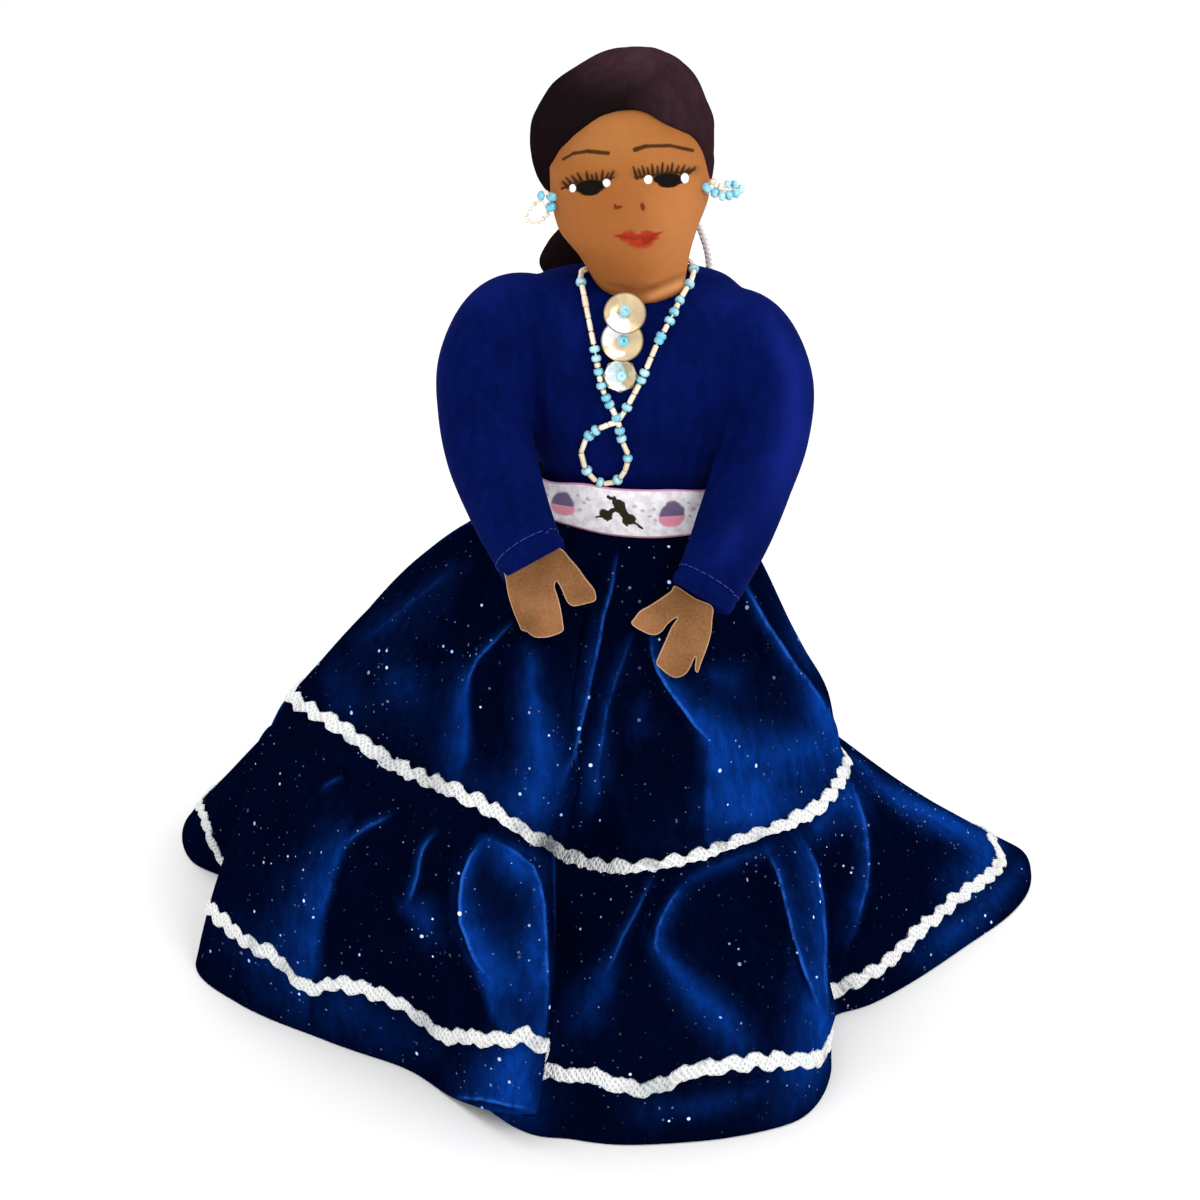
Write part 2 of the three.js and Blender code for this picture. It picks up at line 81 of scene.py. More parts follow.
def seen_at(points):
    """Where points in metres lie in the camera's view, in view units."""
    away = np.asarray(points, float) / MM - CAMERA_AT
    depth = away @ FORWARD
    return np.stack([VIEW / 2 + FOCAL * (away @ RIGHT) / depth, VIEW / 2 - FOCAL * (away @ UP) / depth], -1)


def sight(x, y):
    """Start and direction, in metres, of the line of sight through a place in the view."""
    direction = FORWARD * FOCAL + RIGHT * (x - VIEW / 2) - UP * (y - VIEW / 2)
    return Vector(CAMERA_AT * MM), Vector(direction / np.linalg.norm(direction))


def smooth(low, high, value):
    """0 below low, 1 above high, and a soft step between."""
    share = np.clip((value - low) / (high - low), 0, 1)
    return share * share * (3 - 2 * share)


def closed_spline(points, count):
    """A closed smooth curve through points; any leading axes are kept."""
    points = np.asarray(points, float)
    size = points.shape[-2]
    at = np.arange(count) * size / count
    low = np.floor(at).astype(int)
    t = (at - low)[:, None]
    a, b, c, d = (points[..., (low + step) % size, :] for step in (-1, 0, 1, 2))
    return 0.5 * (2 * b + (c - a) * t + (2 * a - 5 * b + 4 * c - d) * t ** 2 + (3 * b - a - 3 * c + d) * t ** 3)


def open_spline(points, count):
    """A smooth curve through points, evenly spaced along its length."""
    points = np.asarray(points, float)
    padded = np.concatenate([[2 * points[0] - points[1]], points, [2 * points[-1] - points[-2]]])
    at = np.linspace(0, len(points) - 1 - 1e-9, count * 8)
    low = np.floor(at).astype(int)
    t = (at - low)[:, None]
    a, b, c, d = (padded[low + step] for step in range(4))
    fine = 0.5 * (2 * b + (c - a) * t + (2 * a - 5 * b + 4 * c - d) * t ** 2 + (3 * b - a - 3 * c + d) * t ** 3)
    return evenly(fine, count)


def run_of(points):
    """Distance along a line of points."""
    return np.concatenate([[0], np.cumsum(np.linalg.norm(np.diff(points, axis=0), axis=1))])


def evenly(points, count):
    """The same line with evenly spaced points."""
    run = run_of(points)
    at = np.linspace(0, run[-1], count)
    return np.stack([np.interp(at, run, points[:, k]) for k in range(3)], -1)


def line_distance(places, line):
    """For each place in the view: distance to a line, +1 right or -1 left of it, and how far along it is (0 to 1)."""
    line = np.asarray(line, float)
    best = np.full(len(places), 1e9)
    side = np.zeros(len(places))
    along = np.zeros(len(places))
    run = run_of(line)
    for i in range(len(line) - 1):
        step = line[i + 1] - line[i]
        share = np.clip(((places - line[i]) @ step) / (step @ step), 0, 1)
        away = places - line[i] - share[:, None] * step
        distance = np.linalg.norm(away, axis=1)
        closer = distance < best
        best = np.where(closer, distance, best)
        down = step if step[1] >= 0 else -step
        side = np.where(closer, np.sign(away[:, 0] * down[1] - away[:, 1] * down[0]), side)
        along = np.where(closer, (run[i] + share * (run[i + 1] - run[i])) / run[-1], along)
    return best, side, along


def select_only(*objects):
    """Deselects everything else and makes the last object active."""
    bpy.ops.object.select_all(action="DESELECT")
    for piece in objects:
        piece.select_set(True)
    bpy.context.view_layer.objects.active = objects[-1]


def new_piece(name, points, faces, uv=None, marks=None):
    """A mesh piece from points in metres, with per-point UVs and float attributes."""
    mesh = bpy.data.meshes.new(name)
    mesh.from_pydata(np.asarray(points, float).tolist(), [], [list(map(int, face)) for face in faces])
    mesh.update()
    piece = bpy.data.objects.new(name, mesh)
    bpy.context.scene.collection.objects.link(piece)
    if uv is not None:
        layer = mesh.uv_layers.new(name="UVMap")
        corner = np.zeros(len(mesh.loops), int)
        mesh.loops.foreach_get("vertex_index", corner)
        layer.data.foreach_set("uv", np.asarray(uv, np.float32)[corner].ravel())
    for key, values in (marks or {}).items():
        set_mark(piece, key, values)
    return piece


def set_mark(piece, key, values):
    """A float attribute on the points of a piece."""
    attribute = piece.data.attributes.get(key) or piece.data.attributes.new(key, "FLOAT", "POINT")
    attribute.data.foreach_set("value", np.asarray(values, np.float32).ravel())


def points_of(piece):
    """The points of a piece, in metres."""
    flat = np.zeros(len(piece.data.vertices) * 3)
    piece.data.vertices.foreach_get("co", flat)
    return flat.reshape(-1, 3)


def normals_of(piece):
    """The normals of a piece at its points."""
    flat = np.zeros(len(piece.data.vertices) * 3)
    piece.data.vertex_normals.foreach_get("vector", flat)
    return flat.reshape(-1, 3)


def move_points(piece, points):
    """Puts the points of a piece at new places, in metres."""
    piece.data.vertices.foreach_set("co", np.asarray(points, float).ravel())
    piece.data.update()


def grid_faces(rows, columns, wrap=True):
    """Quads between rows of points; each row closes on itself if wrap is set."""
    index = np.arange(rows * columns).reshape(rows, columns)
    right = np.roll(index, -1, axis=1)
    quads = np.stack([index[:-1], right[:-1], right[1:], index[1:]], -1)
    return quads.reshape(-1, 4) if wrap else quads[:, :-1].reshape(-1, 4)


def apply_modifier(piece, kind, **settings):
    """Adds one modifier and applies it."""
    modifier = piece.modifiers.new(kind.lower(), kind)
    for key, value in settings.items():
        setattr(modifier, key, value)
    select_only(piece)
    bpy.ops.object.modifier_apply(modifier=modifier.name)


def face_outwards(piece):
    """Recalculates the normals of a closed piece so that they point out of it."""
    select_only(piece)
    bpy.ops.object.mode_set(mode="EDIT")
    bpy.ops.mesh.select_all(action="SELECT")
    bpy.ops.mesh.normals_make_consistent(inside=False)
    bpy.ops.object.mode_set(mode="OBJECT")


def shade_smooth(piece):
    select_only(piece)
    bpy.ops.object.shade_smooth()


def join_pieces(name, pieces):
    """Several pieces made one."""
    select_only(*pieces)
    bpy.ops.object.join()
    piece = bpy.context.view_layer.objects.active
    piece.name = name
    piece.data.name = name
    return piece


def dress(piece, *materials):
    """Gives a piece its materials."""
    piece.data.materials.clear()
    for material in materials:
        piece.data.materials.append(material)


def belongs(piece, slot, *nodes):
    """The piece rides with the doll and stands for its solids."""
    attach(piece, "root")
    if nodes:
        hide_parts(*nodes)


def tube(name, path, radius, sides=10, closed=False, marks=None):
    """A round tube along a path in metres; radius may vary along it."""
    path = np.asarray(path, float)
    count = len(path)
    radius = np.broadcast_to(np.asarray(radius, float), (count,))
    if closed:
        along = np.roll(path, -1, 0) - np.roll(path, 1, 0)
    else:
        along = np.gradient(path, axis=0)
    along /= np.linalg.norm(along, axis=1)[:, None]
    across = np.zeros_like(along)
    start = np.cross(along[0], [0.0, 0.0, 1.0] if abs(along[0][2]) < 0.9 else [0.0, 1.0, 0.0])
    across[0] = start / np.linalg.norm(start)
    for i in range(1, count):
        turned = across[i - 1] - along[i] * (across[i - 1] @ along[i])
        across[i] = turned / np.linalg.norm(turned)
    other = np.cross(along, across)
    angle = np.arange(sides) * 2 * math.pi / sides
    ring = (np.cos(angle)[None, :, None] * across[:, None] + np.sin(angle)[None, :, None] * other[:, None])
    points = (path[:, None] + ring * radius[:, None, None]).reshape(-1, 3)
    faces = grid_faces(count, sides).tolist()
    run = run_of(path)
    uv = np.stack([np.repeat(run * 1000 / 10, sides), np.tile(np.arange(sides) / sides, count)], -1)
    if closed:
        last = (count - 1) * sides
        faces += [[last + j, last + (j + 1) % sides, (j + 1) % sides, j] for j in range(sides)]
    else:
        faces += [list(range(sides))[::-1], list(range((count - 1) * sides, count * sides))]
    piece = new_piece(name, points, faces, uv=uv)
    face_outwards(piece)
    shade_smooth(piece)
    return piece


class Surface:
    """A finished piece that others are laid on."""

    def __init__(self, *pieces):
        points, faces = [], []
        for piece in pieces:
            start = len(points)
            points += [vertex.co.copy() for vertex in piece.data.vertices]
            faces += [[start + i for i in polygon.vertices] for polygon in piece.data.polygons]
        self.tree = BVHTree.FromPolygons(points, faces)

    def under(self, x, y, lift=0.0):
        """The point of the surface seen at a place in the view, lifted off it by a distance in metres."""
        start, direction = sight(x, y)
        place, normal, _, _ = self.tree.ray_cast(start, direction)
        if place is None:
            return None
        if normal.dot(direction) > 0:
            normal = -normal
        return np.array(place + normal * lift)

    def nearest(self, point, lift=0.0):
        place, normal, _, _ = self.tree.find_nearest(Vector(point))
        return np.array(place + normal * lift)


# Stuffed shapes

# Each level is height, half width, half depth, centre x, centre y, in millimetres from the axis.
HEAD_LEVELS = [
    (229, 11.4, 9, 3, 0), (236, 12.4, 10, 2.8, -0.5), (241, 14, 12, 2, -1), (248, 16.4, 15, 0.6, -1),
    (257, 20.8, 17.8, -1.4, -1), (268, 23.4, 19.6, -0.8, -0.5), (280, 23, 20, -1.4, 0), (292, 20.4, 18.5, -1.6, 0.5),
    (300, 14, 14.5, -0.2, 1), (305, 7, 8, 0.6, 1), (306.4, 0.2, 0.2, 0.8, 1),
]
HAIR_LEVELS = [
    (248.5, 15.5, 12.4, 0.2, 8), (256, 20.6, 17, -1.8, 6), (266, 25.2, 21, -2, 3), (276, 26.8, 23.2, -2.8, 1.5),
    (286, 26.7, 23.4, -3, 1), (295, 23, 21.6, -2.6, 1), (302, 16.8, 17.2, -0.6, 1), (306.5, 10, 10.5, 0.6, 1),
    (308.9, 0.2, 0.2, 1.4, 1),
]
BUN_LEVELS = [
    (226.4, 0.3, 0.3, -8, 29.5), (227.4, 11, 5, -8, 29.5), (230, 17.6, 8, -8, 29.5), (235, 20.5, 9.4, -8, 29.5),
    (241, 18, 8.6, -8, 29.5), (248, 12, 6.8, -8, 29.5), (252, 7.6, 5.2, -8, 29.5), (255, 6.6, 4.8, -8, 29.5),
    (258, 7.6, 5.2, -8, 29.5), (262, 12, 6.6, -8, 29.5), (267, 13.6, 7.2, -8, 29.5), (272, 10.6, 5.8, -8, 29.5),
    (274.6, 6, 3.6, -8, 29.5), (275.4, 0.3, 0.3, -8, 29.5),
]
BODY_LEVELS = [
    (156, 20, 12, 0, 0), (159, 26.6, 16.8, 0, 0), (180, 27.4, 17.4, 0, 0), (186, 30.5, 20, 0, 0), (198, 33, 21, 0, 0),
    (212, 35, 21, 0, 0), (224, 36.5, 19.5, 0, 0), (233, 35.4, 16, 0, 0.8), (236.8, 32, 12.4, 0, 2.2),
    (239.6, 28, 9.5, 0, 3.5), (242, 19, 7, 0, 4),
]
SLEEVES = {
    "right": [
        (-18, 0, 227, 11, 12), (-35, -1, 225.5, 16, 14.5), (-43, -5, 214, 15.6, 14), (-44.4, -11, 202, 14.2, 13),
        (-42.2, -19, 190, 13.6, 12.2), (-37, -29, 178, 12.2, 10.6), (-32.5, -36, 170, 11.2, 8.6),
        (-29, -41.5, 165.2, 10.8, 7),
    ],
    "left": [
        (17, 0, 225.5, 11, 12), (32.5, -1, 221, 15.4, 14), (39.8, -6, 208.6, 15.2, 13.6), (40, -13, 195.4, 13.8, 12.8),
        (36, -21, 183, 12.6, 12), (30.5, -30, 171, 12, 10.6), (24.6, -38, 160.5, 10.8, 8.6),
        (20.4, -43, 154.6, 10.3, 7),
    ],
}


def level_at(levels, heights):
    """Half width, half depth and centre at any heights, smoothly between the levels."""
    table = np.asarray(levels, float)
    z = table[:, 0]
    rates = np.diff(table, axis=0) / np.diff(z)[:, None]
    both = rates[:-1] * rates[1:]
    total = np.where(both > 0, rates[:-1] + rates[1:], 1)
    slopes = np.concatenate([rates[:1], np.where(both > 0, 2 * both / total, 0), rates[-1:]])
    heights = np.clip(heights, z[0], z[-1])
    i = np.clip(np.searchsorted(z, heights) - 1, 0, len(z) - 2)
    gap = z[i + 1] - z[i]
    t = ((heights - z[i]) / gap)[..., None]
    gap = gap[..., None]
    return ((2 * t ** 3 - 3 * t ** 2 + 1) * table[i] + (t ** 3 - 2 * t ** 2 + t) * gap * slopes[i]
            + (3 * t ** 2 - 2 * t ** 3) * table[i + 1] + (t ** 3 - t ** 2) * gap * slopes[i + 1])


def rounded(angle, half_width, half_depth, power=2.0):
    """A point of a rounded oblong: power 2 is an ellipse, more is squarer."""
    c, s = np.cos(angle), np.sin(angle)
    return (half_width * np.sign(c) * np.abs(c) ** (2 / power), half_depth * np.sign(s) * np.abs(s) ** (2 / power))


def stuffed(name, levels, sides=96, rows=80, power=2.0, grow=0.0):
    """A closed soft shape over its levels, started from a sphere whose points are moved."""
    bpy.ops.object.select_all(action="DESELECT")
    bpy.ops.mesh.primitive_uv_sphere_add(segments=sides, ring_count=rows, radius=1)
    piece = bpy.context.view_layer.objects.active
    piece.name = name
    piece.data.name = name
    points = points_of(piece)
    turn = np.arctan2(points[:, 1], points[:, 0])
    rise = (points[:, 2] + 1) / 2
    low, high = levels[0][0], levels[-1][0]
    level = level_at(levels, low + rise * (high - low))
    end = np.clip(np.sqrt(np.clip(1 - points[:, 2] ** 2, 0, 1)) / 0.16, 0, 1)
    shrink = np.where((rise < 0.5) & (levels[0][1] > 1) | (rise > 0.5) & (levels[-1][1] > 1), end, 1)
    x, y = rounded(turn, (level[:, 1] + grow) * shrink, (level[:, 2] + grow) * shrink, power)
    pole = np.abs(points[:, 2]) > 0.99999
    x[pole] = 0
    y[pole] = 0
    moved = np.stack([level[:, 3] + x, level[:, 4] + y, level[:, 0]], -1)
    move_points(piece, mm(moved))
    return piece


# The skirt

# Every fold is a column from the waist over the seam to the hem: direction at the waist in degrees,
# seam x y z, hem x y z, swell of the upper and lower tier, sideways lean of the lower tier.
FOLDS = [
    (-3, (71, 0, 73), (117, -2, 0), 4, 1, 0), (8, (69.5, 11, 71), (137, 20, 0), 3, 0, 0),
    (17, (66, 22, 71), (146, 42, 0), 3, -1, 0), (27, (61.5, 34, 72), (141, 62, 0), 2, -3, 0),
    (40, (57.5, 46, 75), (106, 70, 0), 3, -4, 0), (54, (50, 59, 79), (98, 94, 0), 5, -3, 0),
    (67, (40, 71, 82), (72, 112, 0), 7, 3, 0), (80, (22, 79, 84), (42, 108, 0), 8, 5, 0),
    (93, (2, 82, 85), (14, 126, 0), 8, 8, 0), (106, (-20, 82, 86), (-24, 118, 0), 8, 6, 0),
    (119, (-43, 77, 87), (-56, 124, 0), 8, 8, 0), (131, (-63, 68, 87), (-88, 116, 0), 8, 7, 0),
    (141, (-79, 57, 87), (-106, 96, 0), 8, 4, 0), (150, (-92, 45, 88), (-140, 106, 0), 8, 4, 0),
    (159, (-101, 32, 90), (-163, 82, 0), 8, 1, 0), (167, (-106, 20, 93), (-158, 50, 0), 8, 0, 0),
    (174, (-108, 9, 97), (-126, 24, 0), 8, 2, 0), (182, (-107, -5, 99.5), (-147, -10, 0), 8, 5, 0),
    (195, (-91, -21, 98.6), (-130, -35, 0), 8, 9, 0), (207, (-73, -37, 94.6), (-99, -55, 0), 9, 10, 0),
    (219, (-55, -52, 95), (-70, -71, 0), 9, 10, 0), (229, (-42, -62, 93.8), (-56, -85, 1), 9, 9, 0),
    (236, (-36, -66, 91), (-45.5, -97, 6), 9, 8, 1), (242, (-30.5, -67.5, 87.6), (-36, -104.5, 10), 9, 7, 3.5),
    (246, (-27, -65.5, 84), (-29, -107, 12), 8, 5, 5.5), (249, (-25, -60, 79.6), (-33, -100, 6), 7, 4, 3),
    (252, (-24, -55, 75), (-50, -83, 0), 7, 4, 0), (256, (-21, -54.5, 73), (-41, -93.5, 0), 7, 5, 0),
    (261, (-15.5, -58, 72.2), (-31, -101.5, 0), 8, 6, 0), (266, (-8, -62.5, 72.8), (-19, -104, 0), 8, 8, 0),
    (273, (2, -66, 75), (-4, -106.5, 0), 9, 10, 0), (284, (18, -62, 75.6), (26, -104, 0), 9, 10, 0),
    (297, (35, -50, 75), (50, -96, 0), 8, 9, 0), (306, (46, -42, 74.2), (60, -84, 0), 7, 8, 0),
    (314, (53, -35, 73.8), (64, -64, 0), 6, 6, 0), (323, (59, -30, 73.6), (56, -46, 0), 5, 4, 0),
    (336, (65, -20, 74.4), (82, -35, 0), 4, 3, 0),
]
WAIST_HEIGHT = 164
WAIST_SLOPE = -0.08
BRAID_RISE = 19.5
PER_FOLD = 27
ROWS = 80
WALL_STEP = (4, 3)

# Folds as seen from the camera: line in view units, height in mm, reach to its left and right in view units
UPPER_FOLDS = [
    ([(618, 548), (609, 598), (594, 657), (588, 704), (579, 746), (562, 789), (540, 826)], 5.5, 34, 7),
    ([(636, 560), (628, 620), (614, 680), (604, 740), (596, 800), (580, 850)], -2.6, 9, 12),
    ([(520, 618), (490, 644), (473, 670), (460, 704), (452, 751), (454, 790)], 4.0, 9, 26),
    ([(498, 632), (492, 690), (494, 745), (500, 790)], -2.4, 9, 12),
    ([(540, 640), (540, 700), (546, 750), (540, 795)], 2.4, 18, 18),
    ([(652, 640), (660, 683), (681, 717), (703, 746), (715, 790), (716, 845)], 5.0, 7, 36),
    ([(668, 760), (674, 800), (672, 850)], -2.4, 24, 14),
    ([(745, 585), (766, 619), (792, 661), (817, 691), (834, 717), (845, 750)], 3.4, 8, 14),
    ([(735, 610), (752, 650), (770, 690)], -2.4, 12, 14),
    ([(626, 640), (618, 690), (603, 730), (600, 790)], 2.2, 8, 9),
    ([(470, 590), (420, 640), (385, 690), (362, 735)], 2.0, 22, 14),
    ([(440, 640), (412, 690), (400, 740)], -1.8, 12, 12),
    ([(575, 560), (560, 610), (556, 650)], -1.2, 8, 9),
    ([(690, 660), (735, 690), (780, 712)], 1.6, 12, 12),
]
LOWER_FOLDS = [
    ([(388, 815), (350, 848), (324, 882), (320, 925), (316, 975)], 4.6, 24, 9),
    ([(372, 862), (352, 905), (348, 960)], -2.6, 10, 12),
    ([(431, 832), (418, 870), (412, 904), (420, 950)], 3.4, 9, 11),
    ([(450, 838), (440, 880), (442, 940)], -2.2, 7, 9),
    ([(482, 836), (465, 870), (458, 904), (465, 946), (486, 980), (525, 1003)], 5.0, 9, 32),
    ([(505, 870), (500, 915), (515, 960)], -2.4, 14, 14),
    ([(346, 766), (334, 788), (318, 812)], -3.4, 8, 8),
    ([(372, 780), (352, 806), (338, 832)], 1.8, 8, 8), ([(410, 800), (396, 830), (388, 860)], -1.8, 7, 7),
    ([(272, 718), (264, 750), (256, 795)], 2.2, 6, 6),
    ([(677, 880), (660, 916), (654, 946), (673, 972), (703, 989), (728, 1014), (740, 1050)], 5.0, 10, 28),
    ([(643, 888), (635, 925), (618, 959), (600, 990)], 3.6, 24, 7), ([(656, 885), (646, 925), (634, 970)], -2.2, 7, 7),
    ([(700, 880), (716, 930), (745, 975)], -2.0, 14, 14),
    ([(766, 846), (783, 891), (792, 925), (805, 963), (817, 1001), (822, 1040)], 4.4, 8, 14),
    ([(752, 850), (762, 900), (776, 950)], -2.4, 9, 10),
    ([(740, 855), (735, 890), (738, 925)], 1.4, 8, 8), ([(720, 866), (712, 896)], -1.2, 6, 6),
    ([(850, 790), (862, 812), (869, 840), (870, 870), (866, 900), (857, 930)], 5.0, 12, 8),
    ([(838, 806), (846, 850), (842, 900)], -2.6, 7, 8),
    ([(905, 800), (930, 850), (940, 900)], -2.4, 24, 24), ([(888, 800), (900, 850), (896, 905)], 1.6, 10, 10),
    ([(240, 915), (262, 950), (270, 990)], 1.4, 14, 14), ([(330, 985), (352, 1010), (360, 1040)], 1.6, 16, 16),
]
# Painted highlights on the folds of the velvet: line in view units, reach to its left and right, strength, and how
# sharp and bright its painted crest line is
UPPER_PAINTED_HIGHLIGHTS = [
    ([(617, 556), (612, 590), (604, 616), (600, 640), (593, 673), (584, 715), (575, 754), (562, 784)], 3, 1.5, 0.34, 0.42),
    ([(596, 620), (588, 680), (576, 730)], 10, 3, 0.14, 0),
    ([(531, 654), (531, 688), (537, 725), (541, 756)], 11, 9, 0.5, 0),
    ([(546, 750), (541, 780), (530, 822)], 24, 20, 0.56, 0),
    ([(512, 624), (493, 643), (478, 659), (470, 675), (467, 692)], 4, 1.5, 0.34, 0.3),
    ([(466, 680), (466, 710), (466, 735), (463, 758)], 12, 3, 0.58, 0),
    ([(632, 636), (618, 675), (607, 710), (602, 746), (596, 790)], 6, 3, 0.24, 0.16),
    ([(600, 742), (597, 775), (592, 802)], 9, 9, 0.34, 0),
    ([(650, 632), (652, 653), (657, 671), (666, 686), (680, 705), (696, 727), (714, 744)], 2, 11, 0.7, 0.7),
    ([(700, 728), (716, 750), (722, 775)], 8, 26, 0.46, 0),
    ([(709, 752), (708, 790), (707, 836)], 2, 36, 0.52, 0), ([(745, 772), (752, 825)], 32, 36, 0.54, 0),
    ([(706, 672), (740, 682)], 9, 9, 0.16, 0),
    ([(745, 583), (755, 601), (766, 621), (777, 638), (788, 654), (799, 669), (808, 680), (819, 695), (833, 722)], 5, 2, 0.55, 0.5),
    ([(815, 694), (830, 715), (840, 735), (844, 758)], 18, 3, 0.78, 0),
    ([(775, 575), (790, 600), (798, 635), (810, 668)], 8, 9, 0.3, 0),
    ([(720, 752), (780, 754), (828, 748)], 18, 18, 0.3, 0),
    ([(456, 566), (410, 602), (362, 642)], 9, 16, 0.12, 0.05), ([(396, 668), (408, 695)], 20, 20, 0.2, 0),
    ([(330, 670), (345, 715)], 14, 20, 0.1, 0), ([(455, 760), (470, 800)], 22, 22, 0.1, 0),
    ([(770, 745), (800, 775)], 24, 24, 0.24, 0), ([(640, 700), (636, 740)], 10, 12, 0.08, 0),
]
LOWER_PAINTED_HIGHLIGHTS = [
    ([(389, 817), (367, 828), (354, 837), (343, 848)], 5, 2, 0.32, 0.2),
    ([(343, 846), (336, 863), (327, 894), (320, 920), (316, 945), (313, 972)], 22, 3, 0.68, 0.06),
    ([(434, 835), (428, 841), (423, 850), (420, 861), (418, 874), (414, 890), (407, 906)], 4, 1.5, 0.36, 0.3),
    ([(406, 908), (424, 914), (430, 932)], 11, 12, 0.34, 0),
    ([(482, 840), (470, 857), (462, 877), (458.8, 901), (460, 923), (467.6, 943), (476, 963), (494, 985)], 3, 8, 0.6, 0.6),
    ([(462, 922), (474, 960), (486, 990), (496, 1020)], 3, 27, 0.6, 0),
    ([(491, 838), (514, 851), (533, 866), (541, 884), (545, 908), (547, 952), (548, 990), (544, 1036)], 10, 2, 0.6, 0.4),
    ([(500, 850), (530, 876)], 16, 14, 0.5, 0), ([(532, 930), (534, 990)], 16, 12, 0.32, 0),
    ([(522, 1048), (512, 1106)], 30, 18, 0.78, 0), ([(456, 1098), (478, 1099), (503, 1104), (531, 1110)], 3, 4, 0.5, 0.45),
    ([(651, 880), (639, 908), (624, 934), (613, 961), (604, 976)], 4, 2, 0.18, 0.16),
    ([(608, 972), (594, 1000), (582, 1018)], 16, 12, 0.28, 0),
    ([(681, 887), (671, 900), (663, 914), (657, 928), (655, 945), (663, 964)], 3, 8, 0.46, 0.32),
    ([(657, 946), (676, 973), (700, 998), (722, 1018), (740, 1044)], 10, 9, 0.64, 0),
    ([(690, 879), (715, 867), (740, 857), (764, 850)], 5, 6, 0.26, 0),
    ([(766, 850), (776.8, 871), (784, 897.6), (793.6, 936), (803, 967), (815, 998), (826, 1020)], 2, 7, 0.46, 0.6),
    ([(805, 842), (816.4, 864), (823.6, 900), (826, 936), (826, 972), (828, 1008), (829, 1026)], 15, 2, 0.56, 0.4),
    ([(815, 998), (822, 1030), (826, 1048)], 16, 9, 0.7, 0), ([(812, 1052), (800, 1092)], 22, 14, 0.4, 0),
    ([(852, 784), (858, 800), (864, 818), (868, 841), (869, 865), (867, 889), (860, 913), (854, 934)], 8, 2, 0.46, 0.32),
    ([(846, 786), (850, 812)], 12, 12, 0.42, 0), ([(852, 757), (872, 777)], 6, 6, 0.4, 0),
    ([(878, 784), (908, 804), (940, 820), (968, 833), (992, 845)], 11, 11, 0.66, 0),
    ([(990, 845), (984, 868), (968, 890)], 18, 10, 0.4, 0), ([(1018, 870), (980, 912), (925, 955)], 13, 13, 0.3, 0),
    ([(845, 797), (830, 815), (812, 832)], 9, 9, 0.4, 0), ([(230, 940), (330, 1010), (420, 1050)], 22, 22, 0.1, 0),
    ([(760, 1090), (700, 1108), (640, 1112)], 12, 12, 0.14, 0), ([(346, 985), (350, 1015)], 14, 14, 0.16, 0),
    ([(340, 777), (330, 782), (322, 788)], 2, 4, 0.16, 0.1),
]


def swell(high, low, share, puff, side=None):
    """Points between high and low, swollen outwards, most of all in the upper half; all in millimetres."""
    along = low - high
    outward = (high + low) * [1, 1, 0]
    outward /= np.linalg.norm(outward, axis=-1)[..., None]
    outward -= along * ((outward * along).sum(-1) / (along * along).sum(-1))[..., None]
    outward /= np.linalg.norm(outward, axis=-1)[..., None]
    bulge = np.sin(np.pi * share ** 0.75)
    points = high + along * share + outward * (puff[..., None] * bulge)
    if side is not None:
        points = points + np.array([1.0, 0, 0]) * (side[..., None] * np.sin(np.pi * share ** 0.9))
    return points


def fold_table():
    degrees = np.radians([fold[0] for fold in FOLDS])
    waist = np.stack([30 * np.cos(degrees), 20 * np.sin(degrees), np.zeros(len(FOLDS))], -1)
    waist[:, 2] = WAIST_HEIGHT + WAIST_SLOPE * waist[:, 0]
    seam = np.array([fold[1] for fold in FOLDS], float)
    hem = np.array([fold[2] for fold in FOLDS], float)
    return waist, seam, hem, *(np.array([fold[i] for fold in FOLDS], float) for i in (3, 4, 5))


def upper_columns(shares):
    """Rows of column points of the upper tier, in millimetres from the axis."""
    waist, seam, _, puff, _, _ = fold_table()
    share = np.asarray(shares, float)[:, None, None] * np.ones((1, len(FOLDS), 1))
    even = (2 * seam + np.roll(seam, 1, 0) + np.roll(seam, -1, 0)) / 4
    target = even + (seam - even) * share ** 1.5
    return swell(waist[None] + 0 * share, target, share, puff[None] * np.ones(share.shape[:2]))


def lower_columns(shares):
    """Rows of column points of the lower tier, in millimetres from the axis."""
    _, seam, hem, _, puff, side = fold_table()
    share = np.asarray(shares, float)[:, None, None] * np.ones((1, len(FOLDS), 1))
    ones = np.ones(share.shape[:2])
    return swell(seam[None] + 0 * share, hem[None] + 0 * share, share, puff[None] * ones, side[None] * ones)


def tier_grid(columns, shares, count):
    """The smooth cloth over the columns: rows by count points, in millimetres from the axis."""
    grid = closed_spline(columns(shares), count)
    grid[..., 2] = np.maximum(grid[..., 2], 0)
    return grid


def grid_normals(grid):
    around = np.roll(grid, -1, 1) - np.roll(grid, 1, 1)
    down = np.gradient(grid, axis=0)
    normal = np.cross(down, around)
    return normal / np.maximum(np.linalg.norm(normal, axis=-1), 1e-9)[..., None]


def gathers(grid, shares, seed, spacing, height, first, reach, calm):
    """Fine gathers that start at the upper edge and die out below: height of the cloth and their crests."""
    random = np.random.default_rng(seed)
    edge = grid[first]
    run = np.concatenate([[0], np.cumsum(np.linalg.norm(np.roll(edge, -1, 0) - edge, axis=1))])
    total, run = run[-1], run[:-1]
    lift = np.zeros(grid.shape[:2])
    at = 0.0
    share = np.asarray(shares)[:, None]
    while at < total:
        width = spacing * random.uniform(0.28, 0.5)
        tall = height * random.uniform(0.4, 1.25)
        end = reach * random.uniform(0.35, 1.15)
        drift = random.uniform(-0.5, 0.5) * spacing
        away = (run[None] - at - drift * share + total / 2) % total - total / 2
        wide = width * (1 + 1.4 * share)
        envelope = smooth(-0.02, 0.07, share) * np.clip(1 - share / end, 0, 1) ** 1.3
        lift += tall * envelope * np.exp(-(away / wide) ** 2)
        at += spacing * random.uniform(0.6, 1.5)
    return lift * calm


